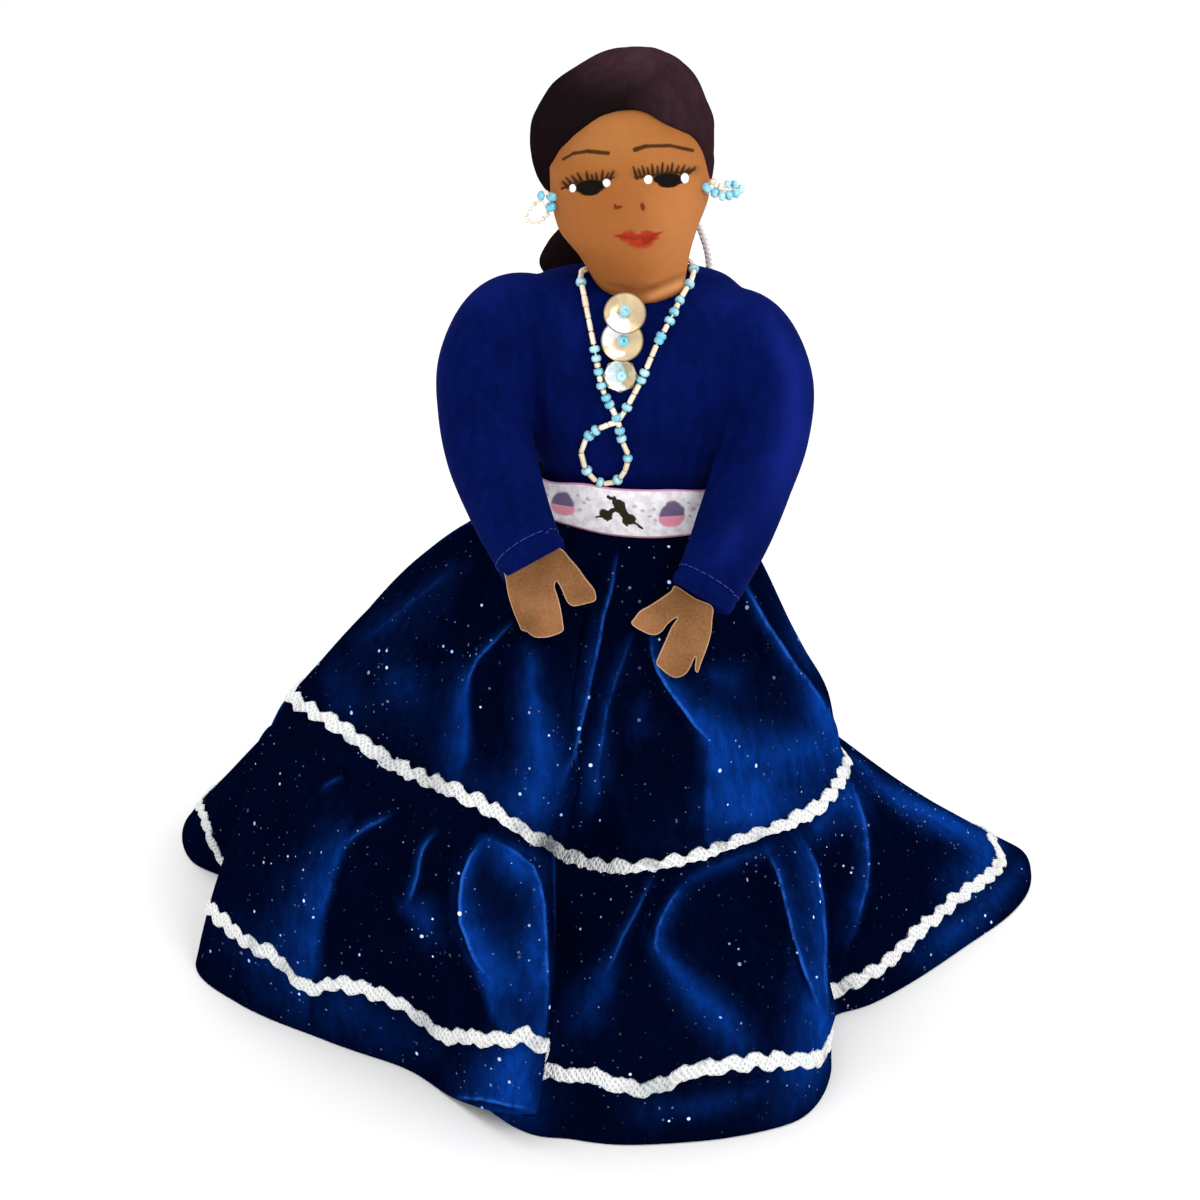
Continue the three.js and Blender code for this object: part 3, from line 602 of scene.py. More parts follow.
def pressed(places, facing, folds):
    """Height in mm that the drawn folds add at places in the view."""
    lift = np.zeros(len(places))
    for line, height, left, right in folds:
        distance, side, along = line_distance(places, line)
        wide = np.where(side > 0, right, left)
        ends = np.minimum(smooth(0, 0.2, along) + 0.25, 1) * smooth(1.02, 0.85, along) if height else 1
        lift += height * ends * np.exp(-(distance / wide) ** 2)
    return lift * facing


def painted_highlight_at(places, facing, marks):
    """How strong the painted highlight is at places in the view, 0 to 1."""
    dark = np.ones(len(places))
    for line, left, right, strength, *_ in marks:
        distance, side, along = line_distance(places, line)
        reach = np.where(side > 0, right, left) * (0.75 + 0.5 * along)
        ends = smooth(-0.3, 0.3, along) * smooth(1.3, 0.7, along)
        power = 1.25 if min(left, right) < 10 else 1.7
        dark *= 1 - strength * ends * np.exp(-(distance / reach) ** power)
    return (1 - dark) * facing


def ridges(places, facing, marks):
    """Distance in the view to the nearest painted crest line, positive on its side of painted shade, and how bright the
    crest is.
    """
    nearest = np.full(len(places), 40.0)
    power = np.zeros(len(places))
    for line, left, right, _, crest in marks:
        if crest:
            distance, side, along = line_distance(places, line)
            ends = smooth(0, 0.22, along) * smooth(1, 0.7, along) * smooth(11, 5, distance)
            closer = distance < np.abs(nearest)
            nearest = np.where(closer, distance * side * (1 if left > right else -1), nearest)
            power = np.where(closer, crest * ends, power)
    return nearest, power * facing


def tier_cloth(columns, folds, marks, seed, spacing, height, reach, low=0.0, high=1.0):
    """Points of one tier in metres, with normals and the marks of its painted highlights and painted shade."""
    shares = np.linspace(low, high, ROWS + 1)
    grid = tier_grid(columns, shares, len(FOLDS) * PER_FOLD)
    normal = grid_normals(grid)
    places = seen_at((grid + AXIS) * MM).reshape(-1, 2)
    to_camera = CAMERA_AT - (grid + AXIS)
    to_camera /= np.linalg.norm(to_camera, axis=-1)[..., None]
    facing = smooth(-0.05, 0.25, (normal * to_camera).sum(-1))
    calm = 1 - 0.5 * facing
    soft = gathers(grid, shares, seed, spacing, height, 0, reach, calm)
    share = shares[:, None]
    turn = np.linspace(0, 2 * np.pi, grid.shape[1], endpoint=False)[None]
    wave = (0.5 * np.sin(11 * turn + 5 * share + seed) + 0.35 * np.sin(23 * turn - 7 * share + 2 * seed)
            + 0.2 * np.sin(41 * turn + 11 * share)) * smooth(0.1, 0.5, share)
    drawn = pressed(places, facing.ravel(), folds).reshape(facing.shape)
    pinned = smooth(0, 0.05, share) * (1 - 0.5 * smooth(0.9, 1, share))
    lift = (soft + 0.7 * wave) * pinned + drawn * smooth(0, 0.04, share)
    moved = grid + normal * lift[..., None]
    moved[..., 2] = np.maximum(moved[..., 2], 0)
    # Painted highlight on the crests of the gathers, on the sides turned away from the camera
    crest = np.clip(soft / height, 0, 1) ** 1.5 * 0.6 * (1 - facing)
    places = seen_at(mm(moved)).reshape(-1, 2)
    # Painted highlight along the drawn fold lines, kept as a mark on the points
    shine = painted_highlight_at(places, facing.ravel(), marks).reshape(facing.shape)
    ridge, power = ridges(places, facing.ravel(), marks)
    marks = {"shine": 1 - (1 - shine) * (1 - crest), "ridge": ridge.reshape(facing.shape), "crest": power.reshape(facing.shape)}
    return moved, grid_normals(moved), marks, shares


def tier_piece(name, cloth, thickness):
    """The cloth of one tier, with its wall."""
    moved, _, marks, shares = cloth
    rows, count = moved.shape[:2]
    run = np.linalg.norm(np.diff(moved[rows // 2], axis=0), axis=1).sum() / 10
    uv = np.stack(np.broadcast_arrays(np.linspace(0, run, count)[None], (1 - shares)[:, None] * 10), -1)
    down, around = WALL_STEP
    normal = grid_normals(moved)
    wall = (mm(moved) - normal * thickness)[::down, ::around]
    wall[..., 2] = np.maximum(wall[..., 2], 0)
    wall_rows, wall_count = wall.shape[:2]
    shift = rows * count
    faces = grid_faces(rows, count)[:, ::-1].tolist() + (grid_faces(wall_rows, wall_count) + shift).tolist()
    for row, wall_row, turned in ((0, 0, 1), (rows - 1, wall_rows - 1, -1)):
        for k in range(wall_count):
            outer = [row * count + (k * around + step) % count for step in range(around + 1)]
            inner = [shift + wall_row * wall_count + (k + 1) % wall_count, shift + wall_row * wall_count + k]
            faces.append((outer + inner)[::turned])
    uv = np.concatenate([uv.reshape(-1, 2), uv[::down, ::around].reshape(-1, 2)])
    marks = {key: np.concatenate([mark.ravel(), mark[::down, ::around].ravel()]) for key, mark in marks.items()}
    points = np.concatenate([mm(moved).reshape(-1, 3), wall.reshape(-1, 3)])
    piece = new_piece(name, points, faces, uv=uv, marks=marks)
    face_outwards(piece)
    shade_smooth(piece)
    return piece


# Materials

class Tree:
    """Short ways to add and join the nodes of one node tree."""

    def __init__(self, tree):
        self.tree = tree

    def add(self, kind, where=(0, 0), label=None, **settings):
        node = self.tree.nodes.new(kind)
        node.location = where
        if label:
            node.label = label
        for key, value in settings.items():
            setattr(node, key, value)
        return node

    def join(self, source, target):
        self.tree.links.new(source, target)

    def feed(self, target, value):
        """Sets a socket, or joins it to another."""
        if isinstance(value, bpy.types.NodeSocket):
            self.join(value, target)
        else:
            target.default_value = value

    def math(self, operation, a, b=None, c=None, clamp=False):
        node = self.add("ShaderNodeMath", operation=operation, use_clamp=clamp)
        for socket, value in zip(node.inputs, (a, b, c)):
            if value is not None:
                self.feed(socket, value)
        return node.outputs[0]

    def vector(self, operation, a, b=None, scale=None):
        node = self.add("ShaderNodeVectorMath", operation=operation)
        self.feed(node.inputs[0], a)
        if b is not None:
            self.feed(node.inputs[1], b)
        if scale is not None:
            self.feed(node.inputs["Scale"], scale)
        return node.outputs["Value"] if operation in ("LENGTH", "DISTANCE", "DOT_PRODUCT") else node.outputs["Vector"]

    def step(self, value, low, high, to_low=0.0, to_high=1.0):
        node = self.add("ShaderNodeMapRange", interpolation_type="SMOOTHSTEP")
        for key, item in (("Value", value), ("From Min", low), ("From Max", high), ("To Min", to_low), ("To Max", to_high)):
            self.feed(node.inputs[key], item)
        return node.outputs["Result"]

    def mix(self, share, a, b, blend="MIX"):
        node = self.add("ShaderNodeMix", data_type="RGBA", blend_type=blend)
        self.feed(node.inputs[0], share)
        self.feed(node.inputs[6], a)
        self.feed(node.inputs[7], b)
        return node.outputs[2]

    def noise(self, vector, scale, detail=2.0, rough=0.5, out=0):
        node = self.add("ShaderNodeTexNoise")
        self.feed(node.inputs["Vector"], vector)
        self.feed(node.inputs["Scale"], scale)
        node.inputs["Detail"].default_value = detail
        node.inputs["Roughness"].default_value = rough
        return node.outputs[out]

    def group(self, name, **values):
        node = self.add("ShaderNodeGroup")
        node.node_tree = bpy.data.node_groups[name]
        for key, value in values.items():
            self.feed(node.inputs[key.replace("_", " ")], value)
        return node


def new_group(name, inputs, outputs):
    """An empty node group with named sockets; returns it with its input and output nodes."""
    group = bpy.data.node_groups.new(name, "ShaderNodeTree")
    for label, kind, default in inputs:
        socket = group.interface.new_socket(name=label, in_out="INPUT", socket_type=kind)
        if default is not None:
            socket.default_value = default
    for label, kind in outputs:
        group.interface.new_socket(name=label, in_out="OUTPUT", socket_type=kind)
    tree = Tree(group)
    return tree, tree.add("NodeGroupInput").outputs, tree.add("NodeGroupOutput").inputs


def pile_group():
    """Short pile: uneven colour and the height of its tufts."""
    tree, inp, out = new_group("pile", [("Place", "NodeSocketVector", None), ("Scale", "NodeSocketFloat", 1.0)],
                               [("Tone", "NodeSocketFloat"), ("Height", "NodeSocketFloat")])
    broad = tree.noise(inp["Place"], tree.math("MULTIPLY", inp["Scale"], 55.0), 3.0)
    fine = tree.noise(inp["Place"], tree.math("MULTIPLY", inp["Scale"], 1500.0), 2.0, 0.6)
    tuft = tree.noise(inp["Place"], tree.math("MULTIPLY", inp["Scale"], 420.0), 2.0)
    brushed = tree.noise(tree.vector("MULTIPLY", inp["Place"], (1, 1, 0.35)), tree.math("MULTIPLY", inp["Scale"], 330.0), 3.0, 0.6)
    tone = tree.math("ADD", tree.math("MULTIPLY", broad, 0.35), tree.math("MULTIPLY", brushed, 0.45))
    tree.join(tree.step(tree.math("ADD", tone, tree.math("MULTIPLY", fine, 0.2)), 0.36, 0.64), out["Tone"])
    tree.join(tree.math("ADD", tree.math("MULTIPLY", tuft, 0.5), fine), out["Height"])


def weave_group():
    """Plain weave of crossing threads in two directions."""
    tree, inp, out = new_group("weave", [("Place", "NodeSocketVector", None), ("Threads", "NodeSocketFloat", 2000.0)],
                               [("Height", "NodeSocketFloat"), ("Tone", "NodeSocketFloat")])
    split = tree.add("ShaderNodeSeparateXYZ")
    tree.join(tree.vector("SCALE", inp["Place"], scale=inp["Threads"]), split.inputs[0])
    warp = tree.math("SINE", split.outputs[0])
    weft = tree.math("SINE", split.outputs[2])
    over = tree.math("MULTIPLY", warp, weft)
    tree.join(tree.math("MULTIPLY_ADD", over, 0.5, 0.5), out["Height"])
    tree.join(tree.noise(inp["Place"], 300.0, 4.0), out["Tone"])


def glitter_group():
    """Flecks of glitter, sparse, in random sizes."""
    tree, inp, out = new_group("glitter", [("Place", "NodeSocketVector", None), ("Scale", "NodeSocketFloat", 250.0),
                                           ("Share", "NodeSocketFloat", 0.3), ("Size", "NodeSocketFloat", 0.2)],
                               [("Mask", "NodeSocketFloat"), ("Tint", "NodeSocketFloat")])
    cells = tree.add("ShaderNodeTexVoronoi", feature="F1", voronoi_dimensions="3D")
    tree.join(inp["Place"], cells.inputs["Vector"])
    tree.join(inp["Scale"], cells.inputs["Scale"])
    colour = tree.add("ShaderNodeSeparateColor")
    tree.join(cells.outputs["Color"], colour.inputs[0])
    chosen = tree.math("LESS_THAN", colour.outputs[0], inp["Share"])
    size = tree.math("MULTIPLY", inp["Size"], tree.math("MULTIPLY_ADD", colour.outputs[1], 0.8, 0.4))
    near = tree.step(cells.outputs["Distance"], tree.math("MULTIPLY", size, 1.15), tree.math("MULTIPLY", size, 0.7))
    tree.join(tree.math("MULTIPLY", near, chosen), out["Mask"])
    tree.join(colour.outputs[2], out["Tint"])


def stroke_group():
    """A drawn stroke between two places, thinner at its end."""
    tree, inp, out = new_group("stroke", [
        ("Place", "NodeSocketVector", None), ("Start", "NodeSocketVector", None), ("End", "NodeSocketVector", None),
        ("Width", "NodeSocketFloat", 1.5), ("Taper", "NodeSocketFloat", 0.0), ("Soft", "NodeSocketFloat", 0.6)],
        [("Mask", "NodeSocketFloat")])
    line = tree.vector("SUBTRACT", inp["End"], inp["Start"])
    away = tree.vector("SUBTRACT", inp["Place"], inp["Start"])
    share = tree.math("DIVIDE", tree.vector("DOT_PRODUCT", away, line), tree.vector("DOT_PRODUCT", line, line), clamp=True)
    near = tree.vector("SUBTRACT", away, tree.vector("SCALE", line, scale=share))
    half = tree.math("MULTIPLY", inp["Width"], tree.math("MULTIPLY_ADD", tree.math("MULTIPLY", share, inp["Taper"]), -0.5, 0.5))
    distance = tree.math("SUBTRACT", tree.vector("LENGTH", near), half)
    tree.join(tree.step(distance, tree.math("MULTIPLY", inp["Soft"], 1.0), tree.math("MULTIPLY", inp["Soft"], -1.0)), out["Mask"])


def oval_group():
    """A filled oval, turned by an angle."""
    tree, inp, out = new_group("oval", [
        ("Place", "NodeSocketVector", None), ("Centre", "NodeSocketVector", None), ("Radii", "NodeSocketVector", None),
        ("Turn", "NodeSocketFloat", 0.0), ("Soft", "NodeSocketFloat", 0.1)], [("Mask", "NodeSocketFloat")])
    turn = tree.add("ShaderNodeVectorRotate", rotation_type="Z_AXIS")
    tree.join(tree.vector("SUBTRACT", inp["Place"], inp["Centre"]), turn.inputs["Vector"])
    tree.join(inp["Turn"], turn.inputs["Angle"])
    reach = tree.vector("LENGTH", tree.vector("DIVIDE", turn.outputs[0], inp["Radii"]))
    tree.join(tree.step(reach, tree.math("ADD", inp["Soft"], 1.0), tree.math("SUBTRACT", 1.0, inp["Soft"])), out["Mask"])


def rgb(red, green, blue):
    """A display colour, 0 to 255, as the shader's linear colour."""
    def linear(value):
        value /= 255
        return value / 12.92 if value <= 0.04045 else ((value + 0.055) / 1.055) ** 2.4
    return (linear(red), linear(green), linear(blue), 1.0)


def new_material(name, **sockets):
    """A material and its Principled shader; constants go on the shader's own sockets."""
    material = bpy.data.materials.new(name)
    material.use_nodes = True
    tree = Tree(material.node_tree)
    shader = material.node_tree.nodes["Principled BSDF"]
    for key, value in sockets.items():
        shader.inputs[key.replace("_", " ")].default_value = value
    return material, tree, shader


def object_place(tree):
    return tree.add("ShaderNodeTexCoord").outputs["Object"]


def view_place(tree):
    """The place on a drawing, in view units, from the piece's own drawing map."""
    node = tree.add("ShaderNodeUVMap", uv_map="drawing")
    return tree.vector("SCALE", node.outputs[0], scale=float(VIEW))


def bumped(tree, shader, height, strength, distance):
    node = tree.add("ShaderNodeBump")
    node.inputs["Strength"].default_value = strength
    node.inputs["Distance"].default_value = distance
    tree.join(height, node.inputs["Height"])
    tree.join(node.outputs[0], shader.inputs["Normal"])


def velvet_material(colours):
    material, tree, shader = new_material("glitter_velvet", Roughness=0.7, Sheen_Weight=0.01, Sheen_Roughness=0.4,
                                          Sheen_Tint=colours.velvet_shine[:], Specular_IOR_Level=0.0)
    place = object_place(tree)
    pile = tree.group("pile", Place=place, Scale=1.0)
    mark = tree.add("ShaderNodeAttribute", attribute_name="shine")
    uneven = tree.math("MULTIPLY", tree.math("SUBTRACT", pile.outputs["Tone"], 0.5), 0.75)
    # Painted highlight: the cloth turns from its dark colour to bright blue where the mark is high
    shine = tree.math("ADD", mark.outputs["Fac"], tree.math("MULTIPLY", uneven, tree.math("ADD", mark.outputs["Fac"], 0.04)), clamp=True)
    cloth = tree.mix(shine, colours.velvet_dark[:], colours.velvet_painted_highlight[:])
    wander = tree.noise(place, 170.0, 2.0)
    ridge = tree.add("ShaderNodeAttribute", attribute_name="ridge")
    crest = tree.add("ShaderNodeAttribute", attribute_name="crest")
    away = tree.math("MULTIPLY_ADD", tree.math("SUBTRACT", wander, 0.5), 2.4, ridge.outputs["Fac"])
    # Painted shade: a dark groove beside each crest line
    painted_groove_shade = tree.math("MULTIPLY", tree.step(away, 0.4, 2.2), tree.step(away, 9.0, 3.0))
    painted_groove_shade = tree.math("MULTIPLY", painted_groove_shade, tree.math("MULTIPLY", crest.outputs["Fac"], 1.5, clamp=True))
    cloth = tree.mix(painted_groove_shade, cloth, colours.velvet_dark[:])
    # Painted highlight: a thin bright blue line along each crest
    line = tree.math("MULTIPLY", tree.step(away, 1.5, 0.2), tree.step(away, -3.2, -0.4))
    line = tree.math("MULTIPLY", line, tree.step(pile.outputs["Tone"], 0.1, 0.7, 0.25, 1.0))
    cloth = tree.mix(tree.math("MULTIPLY", line, crest.outputs["Fac"]), cloth, rgb(46, 108, 216))
    big = tree.group("glitter", Place=place, Scale=330.0, Share=0.17, Size=0.19)
    small = tree.group("glitter", Place=tree.vector("ADD", place, (3.1, 1.7, 0.9)), Scale=720.0, Share=0.13, Size=0.24)
    cluster = tree.step(tree.noise(place, 42.0, 2.0), 0.42, 0.62, 0.1, 1.0)
    # More glitter shows where the painted highlight is
    glitter_in_painted_highlight = tree.math("MULTIPLY", tree.math("MULTIPLY_ADD", mark.outputs["Fac"], 1.1, 0.3, clamp=True), cluster)
    faint = tree.math("MULTIPLY", tree.math("MULTIPLY", small.outputs["Mask"], 0.42), glitter_in_painted_highlight)
    often = tree.math("MULTIPLY", tree.math("MULTIPLY_ADD", big.outputs["Tint"], 0.9, 0.3), tree.math("MULTIPLY_ADD", mark.outputs["Fac"], 0.8, tree.math("MULTIPLY_ADD", cluster, 0.5, 0.12)))
    strong = tree.math("MULTIPLY", big.outputs["Mask"], tree.step(often, 0.14, 0.5, 0.0, 1.0))
    fleck = tree.math("MAXIMUM", strong, faint)
    tint = tree.mix(big.outputs["Tint"], colours.glitter[:], rgb(110, 160, 240))
    tree.join(tree.mix(fleck, cloth, tint), shader.inputs["Base Color"])
    tree.join(tree.math("MULTIPLY_ADD", fleck, -0.35, 0.65), shader.inputs["Roughness"])
    # Painted glints: the glitter flecks glow with their own light
    tree.join(tree.mix(fleck, (0, 0, 0, 1), tint), shader.inputs["Emission Color"])
    shader.inputs["Emission Strength"].default_value = 0.85
    bumped(tree, shader, pile.outputs["Height"], 0.25, 0.0003)
    return material


def velveteen_material(colours):
    material, tree, shader = new_material("blouse_velveteen", Roughness=0.8, Sheen_Weight=0.02, Sheen_Roughness=0.45,
                                          Sheen_Tint=colours.blouse_shine[:], Specular_IOR_Level=0.01)
    place = object_place(tree)
    pile = tree.group("pile", Place=place, Scale=1.0)
    mark = tree.add("ShaderNodeAttribute", attribute_name="shine")
    share = pile.outputs["Tone"]
    cloth = tree.mix(share, colours.blouse_dark[:], colours.blouse_bright[:])
    # Painted highlight: the velveteen turns brighter blue where the mark is high
    tree.join(tree.mix(mark.outputs["Fac"], cloth, rgb(24, 40, 138)), shader.inputs["Base Color"])
    bumped(tree, shader, pile.outputs["Height"], 0.3, 0.0003)
    return material


def skin_material(colours):
    material, tree, shader = new_material("painted_cotton", Roughness=0.85, Specular_IOR_Level=0.12)
    place = object_place(tree)
    drawing = view_place(tree)
    weave = tree.group("weave", Place=place, Threads=5200.0)
    blotch = tree.noise(place, 60.0, 3.0)
    skin = tree.mix(blotch, colours.skin_dark[:], colours.skin_light[:])
    # Painted highlight: the cheek on the lit side of the face is lighter
    painted_cheek_highlight = tree.group("oval", Place=drawing, Centre=(690, 235, 0), Radii=(34, 60, 1), Turn=0.1, Soft=0.95)
    skin = tree.mix(tree.math("MULTIPLY", painted_cheek_highlight.outputs[0], 0.45), skin, rgb(214, 140, 84))
    temple = tree.group("oval", Place=drawing, Centre=(600, 130, 0), Radii=(60, 30, 1), Turn=-0.2, Soft=0.95)
    skin = tree.mix(tree.math("MULTIPLY", temple.outputs[0], 0.3), skin, rgb(196, 140, 78))
    # Painted shade and painted highlight at the chin
    for key, colour in (("painted_chin_shade", rgb(112, 54, 20)), ("painted_chin_highlight", rgb(228, 162, 106))):
        mark = tree.add("ShaderNodeAttribute", attribute_name=key)
        skin = tree.mix(mark.outputs["Fac"], skin, colour)
    front = tree.add("ShaderNodeSeparateXYZ")
    tree.join(place, front.inputs[0])
    is_front = tree.math("LESS_THAN", front.outputs[1], float((AXIS[1] + 2) * MM))
    face = tree.group("face", Place=drawing)
    for mask, colour in (("Smudge", rgb(84, 44, 20)), ("Ink", colours.ink[:]), ("White", rgb(250, 250, 250)),
                         ("Nose", rgb(118, 40, 14)), ("Lips", colours.lips[:]), ("Lip Shade", rgb(136, 30, 16))):
        skin = tree.mix(tree.math("MULTIPLY", face.outputs[mask], is_front), skin, colour)
    tone = tree.math("MULTIPLY_ADD", weave.outputs["Tone"], 0.16, 0.92)
    tree.join(tree.mix(1.0, skin, tone, "MULTIPLY"), shader.inputs["Base Color"])
    bumped(tree, shader, weave.outputs["Height"], 0.12, 0.0002)
    return material


# Painted shade under the jaw and in the crease below the chin, and a painted highlight on the gathered ridge under it:
# line in the view, reach and strength
CHIN_PAINTED_SHADE = [([(596, 262), (640, 284)], 17, 0.16), ([(604, 283), (644, 291)], 2.4, 0.5), ([(644, 291), (684, 273)], 2.4, 0.5)]
CHIN_PAINTED_HIGHLIGHT = [([(646, 299), (688, 281)], 4, 0.6)]

# The painted face: strokes as start, end, width and taper, ovals as centre, radii and turn, in view units
BROWS = [
    ((563, 159.4), (573, 153.6), 2.8, 0), ((573, 153.6), (588, 151.2), 3.4, 0), ((588, 151.2), (608, 153.2), 4.2, 0),
    ((635, 149.6), (646, 146.2), 4.8, 0.1), ((646, 146.2), (670, 145.6), 3.6, 0), ((670, 145.6), (692.5, 150.4), 3.6, 0),
]
LIDS = [
    ((562, 188.6), (574, 183.4), 2.4, 0), ((574, 183.4), (590, 180.4), 2.6, 0), ((590, 180.4), (607, 181), 2.4, 0),
    ((607, 181), (614, 177), 2.2, 0.3), ((635, 177.6), (648, 175.6), 2.2, 0), ((648, 175.6), (668, 172.6), 2.6, 0),
    ((668, 172.6), (686, 172.6), 2.6, 0), ((686, 172.6), (695.5, 169.6), 2.2, 0.3),
]
LASHES = [
    ((568, 187), (562.4, 181.4)), ((572, 184.6), (566, 177.6)), ((577.6, 183), (571.8, 176)), ((582, 182), (577.4, 173)),
    ((588, 181), (586.4, 171.6)), ((592.6, 181), (591.6, 175)), ((597, 181), (596, 173.4)), ((602, 181), (602.6, 170.6)),
    ((606, 180), (608.4, 173)), ((609, 180), (613.6, 171.4)), ((637, 178), (633.4, 167)), ((641, 177), (638.4, 169)),
    ((645, 176.4), (642.4, 166.4)), ((649, 176), (647.4, 168)), ((653, 175.4), (652, 164.4)), ((658, 175), (657.4, 166.4)),
    ((662, 174), (662.6, 163)), ((667, 174), (668, 166)), ((671, 174), (672.6, 163.2)), ((676, 173.4), (678.6, 166)),
    ((681, 173.4), (684.6, 165.4)), ((685, 173), (689.6, 168)), ((689, 172.4), (695.2, 167)),
]
EYES = [((590, 186.6), (16.4, 6.8), 0.1), ((590.4, 189.4), (11.6, 6.4), 0.12), ((669, 179.4), (16.6, 6.2), -0.03),
        ((668.4, 182.4), (11.2, 5.4), 0.02)]
WHITES = [((572.6, 188.2), (3.3, 4.1), 0), ((606.6, 182.9), (3.8, 4.0), 0), ((648.3, 179.5), (4.2, 4.4), 0),
          ((684.9, 178.2), (3.9, 5.0), 0)]
NOSE = [((618.0, 207.6), (4.4, 1.7), 0.25), ((615.2, 205.8), (1.8, 1.6), 0), ((642.6, 206.6), (2.2, 4.4), 0.2)]
LIPS = [((628.0, 236.2), (8.4, 5.4), 0.22), ((649.2, 235.8), (9.4, 5.2), -0.22), ((640, 241.4), (13.4, 6.8), -0.06),
        ((638, 237.5), (18, 3.4), -0.06)]
LIP_STROKES = [((622, 236.4), (614.0, 235.4), 4.4, 0.8), ((654, 235), (662.6, 231.8), 4.6, 0.8)]
LIP_SHADES = [((617, 236.4), (636, 238.6), 2.6, 0), ((636, 238.6), (660, 234), 2.6, 0), ((645, 241), (652, 238.4), 7.0, 0)]
SMUDGES = [((563, 184), (582, 177), 9, 0), ((582, 177), (614, 174.6), 9, 0), ((634, 173), (660, 170), 9, 0),
           ((660, 170), (696, 170), 9, 0)]


def face_group():
    """The painted face as masks: ink, white, nose and lips."""
    tree, inp, out = new_group("face", [("Place", "NodeSocketVector", None)], [
        (name, "NodeSocketFloat") for name in ("Smudge", "Ink", "White", "Nose", "Lips", "Lip Shade")])
    wobble = tree.vector("SCALE", tree.vector("SUBTRACT", tree.noise(inp["Place"], 0.35, 2.0, out=1), (0.5, 0.5, 0.5)), scale=1.4)
    place = tree.vector("ADD", inp["Place"], wobble)

    def most(masks):
        total = masks[0]
        for mask in masks[1:]:
            total = tree.math("MAXIMUM", total, mask)
        return total

    def stroke(start, end, width, taper, soft=0.6):
        return tree.group("stroke", Place=place, Start=(*start, 0), End=(*end, 0), Width=width, Taper=taper, Soft=soft).outputs[0]

    def oval(centre, radii, turn, soft=0.12):
        return tree.group("oval", Place=place, Centre=(*centre, 0), Radii=(*radii, 1), Turn=turn, Soft=soft).outputs[0]

    flat = tree.vector("MULTIPLY", place, (1, 1, 0))
    place = flat
    lines = [stroke(*line) for line in LIDS] + [stroke(start, end, 4.4, 0.6, 1.1) for start, end in LASHES]
    brows = tree.math("MULTIPLY", most([stroke(*line, 0.9) for line in BROWS]), 0.86)
    lines = tree.math("MULTIPLY", most(lines), 0.9)
    tree.join(most([brows, lines] + [oval(*eye) for eye in EYES]), out["Ink"])
    tree.join(tree.math("MULTIPLY", most([stroke(*line, 4.0) for line in SMUDGES]), 0.3), out["Smudge"])
    tree.join(most([oval(*spot) for spot in WHITES]), out["White"])
    tree.join(most([oval(*spot, 0.4) for spot in NOSE]), out["Nose"])
    lips = most([oval(*spot, 0.3) for spot in LIPS] + [stroke(*line, 1.4) for line in LIP_STROKES])
    grain = tree.step(tree.noise(inp["Place"], 0.3, 3.0), 0.3, 0.62, 0.75, 1.0)
    tree.join(tree.math("MULTIPLY", lips, grain), out["Lips"])
    shade = most([stroke(*line, 1.6) for line in LIP_SHADES])
    tree.join(tree.math("MULTIPLY", tree.math("MULTIPLY", shade, lips), 0.7), out["Lip Shade"])


def hair_material(colours):
    material, tree, shader = new_material("dark_plush", Roughness=0.75, Sheen_Weight=0.01, Sheen_Roughness=0.5,
                                          Sheen_Tint=colours.hair_shine[:], Specular_IOR_Level=0.0)
    place = object_place(tree)
    pile = tree.group("pile", Place=place, Scale=1.0)
    height = tree.add("ShaderNodeSeparateXYZ")
    tree.join(place, height.inputs[0])
    # Painted highlight on the crown and on the side towards +x of the hair, where the light falls
    crown = tree.step(height.outputs[2], 0.298, 0.308, 0.12, 1.15)
    side = tree.step(height.outputs[0], 0.002, 0.022, 0.0, 0.95)
    high = tree.math("MAXIMUM", crown, tree.math("MULTIPLY", side, tree.step(height.outputs[2], 0.24, 0.285)))
    share = tree.math("MULTIPLY", tree.math("MULTIPLY_ADD", pile.outputs["Tone"], 0.35, 0.4), high)
    tree.join(tree.mix(share, colours.hair_dark[:], colours.hair_painted_highlight[:]), shader.inputs["Base Color"])
    bumped(tree, shader, pile.outputs["Height"], 0.35, 0.0004)
    return material


def felt_material(name, dark, light):
    material, tree, shader = new_material(name, Roughness=0.95, Specular_IOR_Level=0.06)
    place = object_place(tree)
    fibre = tree.noise(place, 1400.0, 4.0, 0.7)
    blotch = tree.noise(place, 48.0, 2.0)
    share = tree.math("ADD", tree.math("MULTIPLY", fibre, 0.35), tree.math("MULTIPLY", blotch, 0.65))
    tree.join(tree.mix(tree.step(share, 0.36, 0.64), dark, light), shader.inputs["Base Color"])
    bumped(tree, shader, fibre, 0.3, 0.0003)
    return material


